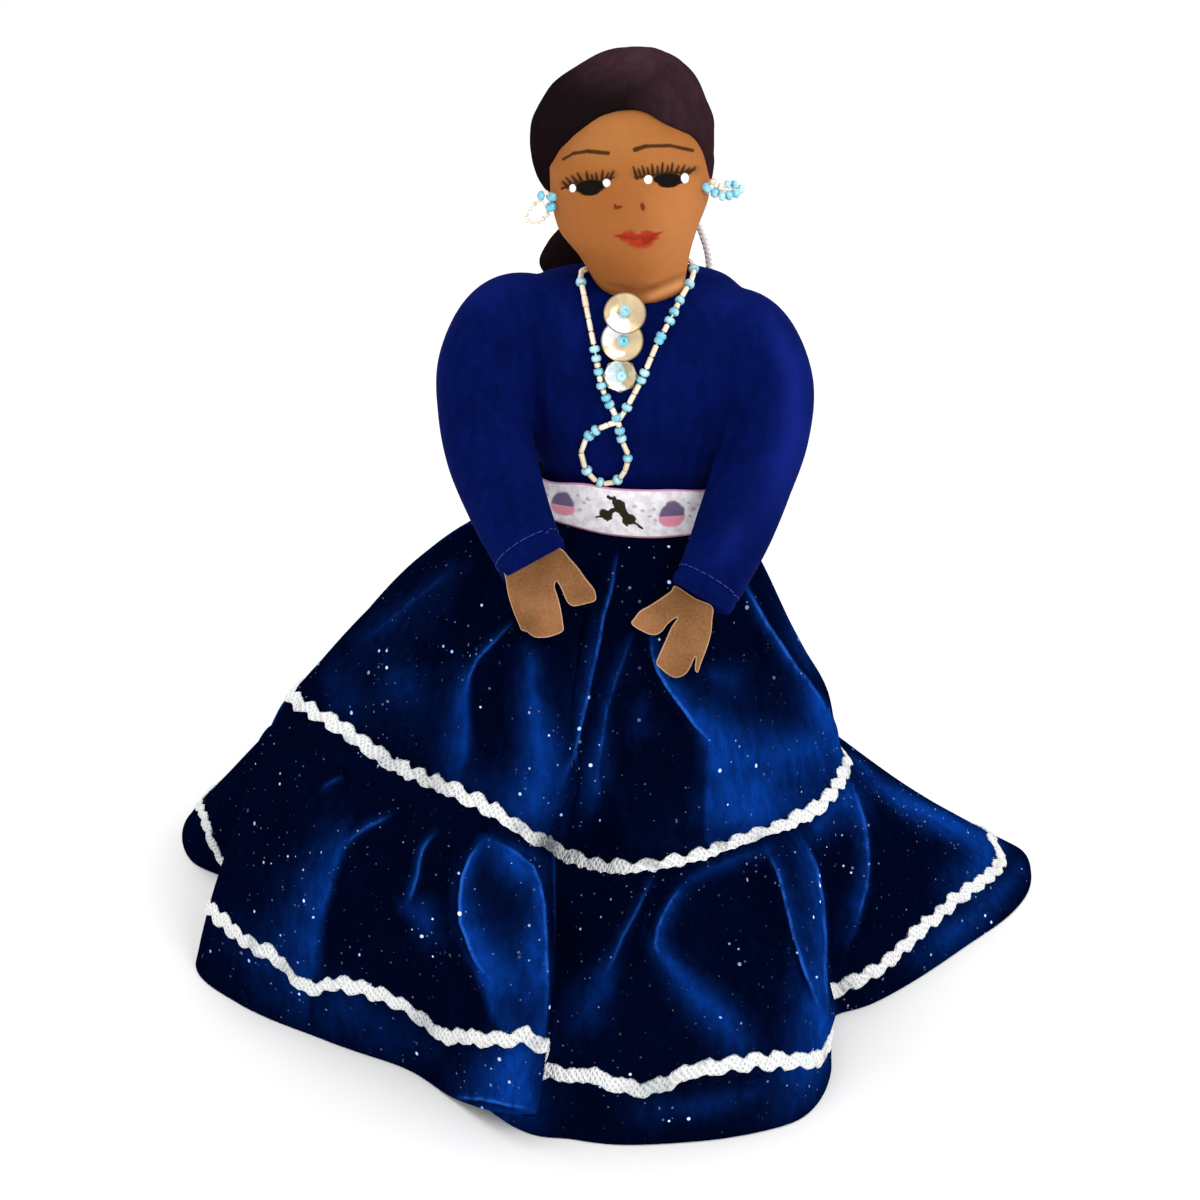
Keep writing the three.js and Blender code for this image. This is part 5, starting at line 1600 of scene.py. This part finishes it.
def ring_on(cloth, share_at):
    """The line round a tier at the given share for each column of points, with normals; in millimetres."""
    moved, normal, _, shares = cloth
    share_at = np.broadcast_to(share_at, (moved.shape[1],))
    position = np.interp(share_at, shares, np.arange(len(shares)))
    low = np.clip(np.floor(position).astype(int), 0, len(shares) - 2)
    t = (position - low)[:, None]
    column = np.arange(moved.shape[1])
    line = moved[low, column] * (1 - t) + moved[low + 1, column] * t
    out = normal[low, column] * (1 - t) + normal[low + 1, column] * t
    return line, out / np.linalg.norm(out, axis=1)[:, None]


# Painted shade on the braid where it dips into the folds of the velvet: place in the view, reach and strength
BRAID_PAINTED_SHADE = [
    ((385, 765), 20, 0.35), ((430, 786), 22, 0.4), ((520, 828), 10, 0.5), ((546, 847), 15, 0.95), ((600, 862), 36, 0.3),
    ((285, 970), 12, 0.35), ((424, 1022), 18, 0.45), ((536, 1042), 9, 0.4), ((652, 1080), 26, 0.45), ((212, 835), 26, 0.25),
    ((845, 985), 10, 0.4), ((262, 936), 12, 0.2), ((760, 834), 16, 0.15),
]


def braid_piece(name, centre, out, down, width, wave, seed):
    """Zigzag braid along a closed line; out and down give its lie on the cloth. Millimetres."""
    step = np.linalg.norm(np.roll(centre, -1, 0) - centre, axis=1)
    run = np.concatenate([[0], np.cumsum(step)])
    total = run[-1]
    waves = round(total / wave)
    count = waves * 14
    at = np.arange(count) * total / count

    def resample(values):
        closed = np.concatenate([values, values[:1]])
        return np.stack([np.interp(at, run, closed[:, k]) for k in range(3)], -1)

    line, out, down = resample(centre), resample(out), resample(down)
    out /= np.linalg.norm(out, axis=1)[:, None]
    down -= out * (down * out).sum(1)[:, None]
    down /= np.linalg.norm(down, axis=1)[:, None]
    random = np.random.default_rng(seed)
    phase = at / total * waves * 2 * math.pi

    def uneven(every):
        knots = random.uniform(-1, 1, count // every + 2)
        knots[-2:] = knots[:2]
        return np.interp(np.arange(count) / every, np.arange(len(knots)), knots)

    swing = 0.78 + 0.3 * uneven(37)
    sway = (swing * np.sin(phase + 0.9 * uneven(23)) + 0.3 * uneven(9) + 0.12 * uneven(3)) * width / 6.6
    half = width * (0.47 + 0.04 * np.cos(2 * phase) + 0.06 * uneven(7) + 0.03 * uneven(2))
    lift = 0.6 + 0.3 * np.abs(np.cos(phase)) + 0.3 * uneven(3)
    section = np.array([(-1, -0.35), (-0.8, 0.35), (-0.35, 0.62), (0.1, 0.5), (0.5, 0.66), (0.85, 0.3), (1, -0.35), (0, -0.4)])
    points = (line[:, None] + down[:, None] * (sway[:, None] + half[:, None] * section[None, :, 0])[..., None]
              + out[:, None] * (0.15 + lift[:, None] * section[None, :, 1] + 0.2)[..., None])
    sides = len(section)
    faces = grid_faces(count, sides).tolist()
    last = (count - 1) * sides
    faces += [[last + j, last + (j + 1) % sides, (j + 1) % sides, j] for j in range(sides)]
    uv = np.stack(np.broadcast_arrays((at / 10)[:, None], (section[:, 0] * 0.5)[None]), -1)
    points = mm(points).reshape(-1, 3)
    # Painted shade where the braid dips into folds, only on the side facing the camera
    light = np.ones(len(points))
    for place, reach, strength in BRAID_PAINTED_SHADE:
        light *= 1 - strength * np.exp(-(np.linalg.norm(seen_at(points) - place, axis=1) / reach) ** 2)
    painted_braid_shade = (1 - light) * np.repeat(((CAMERA_AT - line - AXIS) * out).sum(1) > 0, sides)
    piece = new_piece(name, points, faces, uv=uv.reshape(-1, 2), marks={"painted_braid_shade": painted_braid_shade})
    face_outwards(piece)
    shade_smooth(piece)
    dress(piece, finishes()["metal_thread"])
    return piece


# The braid above the hem as seen from the camera: directions at the waist, and the line in view units
RIGHT_BRAID = [(800, 1004), (829, 992), (855, 981), (880, 968), (902, 948), (915, 934), (934, 918), (954, 900), (968, 890), (982, 881),
               (996, 869), (1004, 855), (1003, 838)]
HEM_BRAID = [
    (146, 176, [(197, 797), (208, 828), (216, 850), (228, 874)]),
    (182, 247, [(207, 905), (214, 909), (236, 925), (259, 931), (270, 945), (292, 976), (309, 990), (329, 984),
                (360, 982), (382, 982), (393, 998), (427, 1022), (442, 1036), (470, 1037), (503, 1036), (525, 1035),
                (545, 1047)]),
    (255, 318, [(537, 1070), (560, 1073), (575, 1078), (590, 1073), (605, 1082), (640, 1090), (665, 1085), (690, 1070),
                (750, 1062), (830, 1060)]),
    (-6, 22, RIGHT_BRAID), (316, 358, RIGHT_BRAID),
]
BRAID_PLAY = 5.5
FLAP_PLAY = 12


def hem_braid_share(cloth):
    """How far down each column of the lower tier its braid is: as drawn in front, and at a fixed height elsewhere."""
    moved, _, _, shares = cloth
    lengths = np.linalg.norm(np.diff(moved, axis=0), axis=2).sum(0)
    usual = 1 - BRAID_RISE / lengths
    share = usual.copy()
    degrees = [fold[0] for fold in FOLDS] + [FOLDS[0][0] + 360]
    degree = np.interp(np.arange(len(share)) / PER_FOLD, np.arange(len(degrees)), degrees)
    places = seen_at(mm(moved))
    for low, high, line in HEM_BRAID:
        line = np.array(line, float)
        for column in np.flatnonzero((degree >= low) & (degree <= high)):
            below = places[:, column, 1] - np.interp(places[:, column, 0], line[:, 0], line[:, 1])
            crossing = np.flatnonzero((below[:-1] < 0) & (below[1:] >= 0))
            if len(crossing):
                row = crossing[-1]
                share[column] = np.interp(0, below[row:row + 2], shares[row:row + 2])
    fade = np.where(degree > 100, smooth(154, 166, degree), smooth(20, 11, degree))
    play = np.where((degree < 180) | (degree > 318), FLAP_PLAY, BRAID_PLAY) * fade / lengths
    share = np.clip(share, usual - play, usual + play)
    for _ in range(3):
        share = (np.roll(share, 1) + 2 * share + np.roll(share, -1)) / 4
    return share


class DOLL_OT_braids(bpy.types.Operator):
    """Add the silver zigzag braid over the seam and above the hem"""
    bl_idname = "doll.braids"
    bl_label = "Braids"

    def execute(self, context):
        sizes = context.scene.doll_sizes
        width, wave = sizes.braid_width / MM, sizes.braid_wave / MM
        top, top_out = ring_on(upper_cloth(), 1.0)
        below, below_out = ring_on(lower_cloth(), 0.03)
        higher, _ = ring_on(upper_cloth(), 0.97)
        seam = braid_piece("seam_braid_trim", (top + below) / 2, top_out + below_out, below - higher, width, wave, 4)
        belongs(seam, "braid", "seam_braid")
        cloth = lower_cloth()
        share = hem_braid_share(cloth)
        line, out = ring_on(cloth, share)
        lower, _ = ring_on(cloth, share + 0.03)
        hem = braid_piece("hem_braid_trim", line, out, lower - line, width, wave, 9)
        belongs(hem, "braid", "hem_braid")
        return {"FINISHED"}


class DOLL_OT_belt(bpy.types.Operator):
    """Add the printed ribbon round the waist"""
    bl_idname = "doll.belt"
    bl_label = "Belt"

    def execute(self, context):
        count, rows = 240, 20
        turn = np.arange(count + 1) * 2 * math.pi / count + math.pi / 2
        share = np.linspace(0, 1, rows)[:, None]
        out = 0.55 + 0.35 * np.sin(share * math.pi * 2 + 0.4 * np.sin(3 * turn)) * np.sin(2 * turn + 1) + 0.12 * np.sin(9 * turn)
        out = out + 0.25 * (share - 0.5) ** 2
        x = (30 + out) * np.cos(turn)
        y = (20 + out) * np.sin(turn)
        low = 3.6 * smooth(-12, -27, x) * (y < 0) + 1.4 * smooth(10, 25, x) * (y < 0)
        z = WAIST_HEIGHT + WAIST_SLOPE * x + 0.2 + (16 - low) * share + 0.25 * np.sin(5 * turn + share)
        points = np.stack([x, y, z], -1)
        run = run_of(points[rows // 2])
        uv = np.stack(np.broadcast_arrays((run - run[-1] / 2 + 4.2)[None], 16 * share), -1)
        belt = new_piece("belt_ribbon", mm(points).reshape(-1, 3), grid_faces(rows, count + 1, wrap=False), uv=uv.reshape(-1, 2))
        apply_modifier(belt, "SOLIDIFY", thickness=0.0004, offset=1, use_even_offset=False)
        shade_smooth(belt)
        dress(belt, finishes()["satin_print"])
        belongs(belt, "ribbon", "belt")
        return {"FINISHED"}


# Strings of beads: the line in the view, and where the turquoise beads are on it
STRAND_LEFT = [(580, 276), (584, 296), (590, 324), (596, 352), (600, 375), (606, 395), (613, 408), (618, 418)]
STRAND_RIGHT = [(691, 283), (681, 300), (669, 322), (656, 345), (645, 370), (635, 390), (626, 407), (619, 418)]
PENDANT = [(618, 420), (621, 436), (628, 452), (624, 470), (612, 479), (597, 477), (585, 462), (583, 446), (592, 431), (606, 424)]
BLUE_LEFT = [(579, 283), (595, 349), (597, 358), (599, 371), (602, 385), (607, 397), (609, 405), (618, 418)]
BLUE_RIGHT = [(690, 284), (680, 301), (673.5, 311), (670.5, 321), (662, 336), (660.5, 342), (645, 373), (642, 381), (627, 407)]
BLUE_PENDANT = [(617, 431), (620, 439), (627, 458), (614, 475), (601, 479), (587, 470), (590, 437), (595, 429)]
NAPE = [(18.4, -3, 242.4), (16.4, 8, 243.4), (3, 14.6, 243.6), (-10.6, 9, 243.6), (-13.4, -2, 243)]


def bead_template(kind):
    """One bead along X, 1 mm long and wide, to be copied."""
    bpy.ops.object.select_all(action="DESELECT")
    if kind == "round":
        bpy.ops.mesh.primitive_torus_add(major_segments=12, minor_segments=8, major_radius=0.27, minor_radius=0.23,
                                         rotation=(0, math.pi / 2, 0))
        bead = bpy.context.view_layer.objects.active
        bpy.ops.object.transform_apply(rotation=True)
        bead.data.transform(Matrix.Diagonal((1.7, 1, 1, 1)))
    else:
        bpy.ops.mesh.primitive_cylinder_add(vertices=10, radius=0.5, depth=1, rotation=(0, math.pi / 2, 0))
        bead = bpy.context.view_layer.objects.active
        bpy.ops.object.transform_apply(rotation=True)
        apply_modifier(bead, "BEVEL", width=0.12, segments=2, limit_method="ANGLE", angle_limit=math.radians(40))
    bead.name = f"bead_{kind}"
    return bead


def place_bead(template, name, at, along, length, width, material):
    """A copy of a bead at a place in metres, along a direction."""
    bead = template.copy()
    bead.data = template.data.copy()
    bpy.context.scene.collection.objects.link(bead)
    bead.name = name
    turn = Vector(along).to_track_quat("X", "Z").to_matrix().to_4x4()
    bead.data.transform(Matrix.Translation(Vector(at)) @ turn @ Matrix.Diagonal((length * MM, width * MM, width * MM, 1)))
    dress(bead, material)
    shade_smooth(bead)
    return bead


def string_beads(path, blues, seed, round_bead, long_bead, blue_size=3.3, gold_size=1.75):
    """Beads along a path in metres: turquoise ones at the given distances, gold ones between."""
    random = np.random.default_rng(seed)
    run = run_of(path) / MM
    materials = finishes()
    beads = []

    def at(distance):
        return np.array([np.interp(distance, run, path[:, k]) for k in range(3)])

    def put(middle, length, blue):
        low, high = at(middle - length / 2), at(middle + length / 2)
        template, width = (round_bead, blue_size * random.uniform(0.92, 1.06)) if blue else (long_bead, gold_size * random.uniform(0.92, 1.1))
        material = materials["turquoise_glass" if blue else "gold_glass"]
        beads.append(place_bead(template, f"bead_{seed}_{len(beads)}", (low + high) / 2, high - low, length, width, material))

    stops = sorted(blues)
    size = blue_size * 0.8
    edges = [0.0] + stops + [run[-1]]
    for i, stop in enumerate(stops):
        if 0 < stop < run[-1]:
            put(stop, size, True)
    for low, high in zip(edges[:-1], edges[1:]):
        low = low + (size / 2 if low > 0 else 0)
        high = high - (size / 2 if high < run[-1] else 0)
        room = high - low
        if room < 1.0:
            continue
        count = max(1, round(room / random.uniform(3.2, 4.6)))
        for i in range(count):
            put(low + room * (i + 0.5) / count, room / count * 0.94, False)
    return beads


def along_path(path, places):
    """Distances in mm along a path, in metres, of the points nearest to places in the view."""
    seen = seen_at(path)
    run = run_of(path) / MM
    return [run[np.argmin(((seen - place) ** 2).sum(1))] for place in places]


class DOLL_OT_necklace(bpy.types.Operator):
    """Add the bead necklace and its ring-shaped pendant"""
    bl_idname = "doll.necklace"
    bl_label = "Necklace"

    def execute(self, context):
        surface = Surface(bpy.data.objects["blouse_cloth"], bpy.data.objects["sequins"])
        lift = 0.0016
        right = np.array([surface.under(x, y, lift) for x, y in STRAND_LEFT])
        left = np.array([surface.under(x, y, lift) for x, y in STRAND_RIGHT])
        nape = mm(NAPE)
        path = open_spline(np.concatenate([left[::-1], nape, right]), 400)
        ring = np.array([surface.under(x, y, lift) for x, y in PENDANT])
        ring = evenly(np.concatenate([closed_spline(ring, 200), ring[:1]]), 300)
        blues = along_path(path, BLUE_LEFT + BLUE_RIGHT)
        around = run_of(path)[-1] / MM
        nape_run = along_path(path, [(691, 283)])[0], along_path(path, [(580, 276)])[0]
        low, high = min(nape_run), max(nape_run)
        blues += [at for at in np.arange(low + 7, high - 4, 10.5) if at < around]
        round_bead, long_bead = bead_template("round"), bead_template("long")
        beads = string_beads(path, blues, 21, round_bead, long_bead)
        beads += string_beads(ring, along_path(ring, BLUE_PENDANT), 22, round_bead, long_bead, 3.4)
        thread = tube("necklace_thread", path, 0.0003, 6)
        dress(thread, finishes()["gold_glass"])
        loop = tube("pendant_thread", ring[:-1], 0.0003, 6, closed=True)
        dress(loop, finishes()["gold_glass"])
        necklace = join_pieces("necklace_beads", beads + [thread, loop])
        belongs(necklace, "beadwork", "necklace")
        earrings(round_bead, long_bead)
        for template in (round_bead, long_bead):
            bpy.data.objects.remove(template)
        return {"FINISHED"}


# Beads of the earrings: place in the view, size in mm, and whether it is turquoise
EARRINGS = {
    "right_earring": (-8.0, [
        ((541, 195.6), 3.0, True), ((552, 196.6), 3.8, True), ((551, 206.6), 3.5, True), ((546.4, 192.6), 1.9, False),
        ((539, 200.6), 1.4, False), ((534.4, 204), 1.5, False), ((529.6, 209), 1.4, False), ((526, 214.6), 1.6, False),
        ((527.4, 220.4), 1.5, False), ((532.6, 222.4), 1.3, False), ((538.4, 222), 1.4, False), ((543, 218.6), 1.6, False),
        ((547.6, 214), 1.5, False)]),
    "left_earring": (-9.0, [
        ((706.4, 188), 3.5, True), ((713, 181.6), 2.5, False), ((715.6, 192.6), 3.4, True), ((722.4, 196), 3.0, True),
        ((729, 195.6), 3.0, True), ((735.6, 193.6), 3.0, True), ((740.6, 189), 2.9, True), ((734.4, 184.4), 2.7, True),
        ((727.6, 184), 2.4, True), ((720.6, 186.4), 2.2, False), ((744.4, 191.6), 1.3, False)]),
}


def earrings(round_bead, long_bead):
    """Both earrings, each a small loop of beads that hangs at the side of the head."""
    materials = finishes()
    for name, (depth, beads) in EARRINGS.items():
        places = []
        for i, ((x, y), size, blue) in enumerate(beads):
            start, direction = sight(x, y)
            wave = 0.9 * math.sin(i * 1.3)
            reach = ((depth + wave + AXIS[1]) * MM - start.y) / direction.y
            places.append(start + direction * reach)
        pieces = []
        for i, ((x, y), size, blue) in enumerate(beads):
            other = places[i + 1] if i + 1 < len(places) else places[i - 1]
            pieces.append(place_bead(round_bead, f"{name}_bead_{i}", places[i], other - places[i], size * 0.85, size,
                                     materials["turquoise_glass" if blue else "gold_glass"]))
        loop = closed_spline(np.array([list(place) for place in places]), 60)
        thread = tube(f"{name}_thread", loop, 0.0002, 5, closed=True)
        dress(thread, materials["gold_glass"])
        ring = join_pieces(f"{name}_beads", pieces + [thread])
        belongs(ring, "beadwork", name)


# Sequins: number, edges, size against the first, and shift of the disc from its bead in millimetres
SEQUINS = [(1, 24, 1.0, (0, -1.7, -1.3)), (2, 24, 1.0, (-0.3, 0, 0.2)), (3, 8, 0.79, (-0.2, 0, 0.1))]
# Painted reflections (glints) on the sequins: middle and reach in the view
GLINTS = {
    1: [((617.6, 326), (13, 12)), ((607, 336), (8, 9))],
    2: [((617.6, 327), (13, 12)), ((606.6, 337), (8, 9)), ((620, 354), (7, 3))],
    3: [((613, 366), (9, 9)), ((617, 388), (9, 4)), ((614, 374), (11.5, 11.5))],
}


class DOLL_OT_sequins(bpy.types.Operator):
    """Add the cup sequins with their beads"""
    bl_idname = "doll.sequins"
    bl_label = "Sequins"

    def execute(self, context):
        discs, beads = [], []
        for i, facets, scale, shift in SEQUINS:
            solid = np.array([vertex.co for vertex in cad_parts[f"sequin_{i}"].data.vertices])
            centre = solid.mean(0) + np.array(shift) * MM
            _, _, axes = np.linalg.svd(solid - centre)
            normal = axes[2] * (-1 if axes[2][1] > 0 else 1)
            bpy.ops.object.select_all(action="DESELECT")
            bpy.ops.mesh.primitive_circle_add(vertices=48, radius=0.00055, fill_type="NOTHING")
            disc = context.view_layer.objects.active
            disc.name = f"sequin_disc_{i}"
            bpy.ops.object.mode_set(mode="EDIT")
            bpy.ops.mesh.select_all(action="SELECT")
            for radius, rise in ((0.0023, 0.00005), (0.0036, 0.0002), (0.0048, 0.0007), (0.0058, 0.0012), (0.0062, 0.00135)):
                bpy.ops.mesh.extrude_edges_move(TRANSFORM_OT_translate={"value": (0, 0, 0)})
                bpy.ops.object.mode_set(mode="OBJECT")
                for vertex in disc.data.vertices:
                    if vertex.select:
                        flat = math.hypot(vertex.co.x, vertex.co.y)
                        angle = math.atan2(vertex.co.y, vertex.co.x)
                        edge = 1.0
                        if facets == 8 and radius > 0.003:
                            part = (angle % (math.pi / 4)) - math.pi / 8
                            edge = math.cos(math.pi / 8) / math.cos(part) * 1.04
                        vertex.co.x *= radius * scale * edge / flat
                        vertex.co.y *= radius * scale * edge / flat
                        vertex.co.z = rise
                bpy.ops.object.mode_set(mode="EDIT")
            bpy.ops.mesh.select_all(action="SELECT")
            bpy.ops.mesh.normals_make_consistent(inside=False)
            bpy.ops.object.mode_set(mode="OBJECT")
            apply_modifier(disc, "SOLIDIFY", thickness=0.00022, offset=0)
            turn = Vector(normal).to_track_quat("Z", "Y").to_matrix().to_4x4()
            disc.data.transform(Matrix.Translation(Vector(centre - normal * 0.0006)) @ turn)
            select_only(disc)
            bpy.ops.object.shade_smooth_by_angle(angle=math.radians(30))
            points = points_of(disc)
            away = np.linalg.norm(points - (centre - normal * 0.0006), axis=1) / MM
            places = seen_at(points)
            # Painted reflections placed where the sequins are seen in the view
            glint = [1 - np.linalg.norm((places - place) / reach, axis=1) for place, reach in GLINTS[i]]
            set_mark(disc, "rim", smooth(5.6, 6.2, away / scale))
            set_mark(disc, "glint", np.max(glint, axis=0))
            dress(disc, finishes()["metallised_film"])
            discs.append(disc)
            bead_at = centre - np.array(shift) * [MM, 0, 0.6 * MM]
            template = bead_template("round")
            bead = place_bead(template, f"sequin_bead_{i}", bead_at + normal * 0.0011, (normal[0] + 0.5, normal[1], normal[2] + 0.35), 2.6, 3.5,
                              finishes()["turquoise_glass"])
            bpy.data.objects.remove(template)
            beads.append(bead)
        sequins = join_pieces("sequins", discs)
        belongs(sequins, "sequin", "sequin_1", "sequin_2", "sequin_3")
        dots = join_pieces("sequin_beads", beads)
        belongs(dots, "turquoise", "sequin_bead_1", "sequin_bead_2", "sequin_bead_3")
        return {"FINISHED"}


# Settings and panel

def colour_property(name, text, value):
    return bpy.props.FloatVectorProperty(name=name, description=text, subtype="COLOR", size=4, min=0, max=1, default=value)


class DollSizes(bpy.types.PropertyGroup):
    velvet_wall: bpy.props.FloatProperty(name="Velvet", description="Thickness of the skirt's cloth", default=0.0009,
                                         min=0.0002, max=0.003, unit="LENGTH", precision=4)
    braid_width: bpy.props.FloatProperty(name="Braid width", description="Width of the zigzag braid", default=0.0056,
                                         min=0.002, max=0.01, unit="LENGTH", precision=4)
    braid_wave: bpy.props.FloatProperty(name="Braid wave", description="Length of one zigzag", default=0.0083,
                                        min=0.003, max=0.02, unit="LENGTH", precision=4)


class DollColours(bpy.types.PropertyGroup):
    # The dark velvet colour is the cloth's own colour and also the painted shade of its grooves; the bright one is the
    # painted highlight of its folds
    velvet_dark: colour_property("Velvet, dark", "The pile seen along its lie", rgb(1, 5, 27))
    velvet_painted_highlight: colour_property("Velvet, bright", "The pile seen against its lie", rgb(8, 62, 158))
    velvet_shine: colour_property("Velvet, sheen", "Sheen at the edges of folds", rgb(20, 66, 170))
    glitter: colour_property("Glitter", "Flecks on the velvet", rgb(226, 236, 255))
    blouse_dark: colour_property("Blouse, dark", "Velveteen in its hollows", rgb(2, 12, 62))
    blouse_bright: colour_property("Blouse, bright", "Velveteen on its tufts", rgb(5, 19, 82))
    blouse_shine: colour_property("Blouse, sheen", "Sheen of the velveteen", rgb(30, 50, 160))
    skin_dark: colour_property("Skin, dark", "Cotton of the face", rgb(156, 92, 43))
    skin_light: colour_property("Skin, light", "Cotton of the face", rgb(176, 108, 54))
    ink: colour_property("Ink", "Brows, lashes and eyes", rgb(14, 7, 4))
    lips: colour_property("Lips", "Paint of the lips", rgb(166, 44, 22))
    # The light hair colour is a painted highlight on the crown and the side towards +x
    hair_dark: colour_property("Hair, dark", "Plush in its hollows", rgb(18, 12, 13))
    hair_painted_highlight: colour_property("Hair, light", "Plush on its tufts", rgb(66, 44, 50))
    hair_shine: colour_property("Hair, sheen", "Sheen of the plush", rgb(120, 80, 100))
    braid_shade: colour_property("Braid, shade", "Between the threads", rgb(84, 104, 110))
    turquoise: colour_property("Turquoise", "Round beads", rgb(110, 202, 230))
    gold: colour_property("Gold", "Long beads", rgb(246, 226, 192))
    sequin: colour_property("Sequin", "Cup sequins", rgb(206, 182, 146))
    yarn: colour_property("Yarn", "Crests of the yarn", rgb(255, 250, 251))
    yarn_shade: colour_property("Yarn, shade", "Hollows of the yarn", rgb(246, 230, 234))


OPERATORS = (DOLL_OT_stage, DOLL_OT_yarn, DOLL_OT_head, DOLL_OT_hair, DOLL_OT_blouse, DOLL_OT_hands, DOLL_OT_skirt,
             DOLL_OT_braids, DOLL_OT_belt, DOLL_OT_sequins, DOLL_OT_necklace)


class DOLL_PT_build(bpy.types.Panel):
    """Builds the doll piece by piece"""
    bl_idname = "DOLL_PT_build"
    bl_label = "Cloth doll"
    bl_space_type = "VIEW_3D"
    bl_region_type = "UI"
    bl_category = "Doll"

    def draw(self, context):
        for settings in (context.scene.doll_sizes, context.scene.doll_colours):
            box = self.layout.box()
            for key in settings.__annotations__:
                box.prop(settings, key)
        column = self.layout.column()
        for operator in OPERATORS:
            column.operator(operator.bl_idname)


CLASSES = (DollSizes, DollColours, *OPERATORS, DOLL_PT_build)


def register():
    for cls in CLASSES:
        bpy.utils.register_class(cls)
    bpy.types.Scene.doll_sizes = bpy.props.PointerProperty(type=DollSizes)
    bpy.types.Scene.doll_colours = bpy.props.PointerProperty(type=DollColours)


def unregister():
    del bpy.types.Scene.doll_colours
    del bpy.types.Scene.doll_sizes
    for cls in reversed(CLASSES):
        bpy.utils.unregister_class(cls)


def main():
    register()
    for operator in OPERATORS:
        group, name = operator.bl_idname.split(".")
        getattr(getattr(bpy.ops, group), name)()


if __name__ == "__main__":
    main()
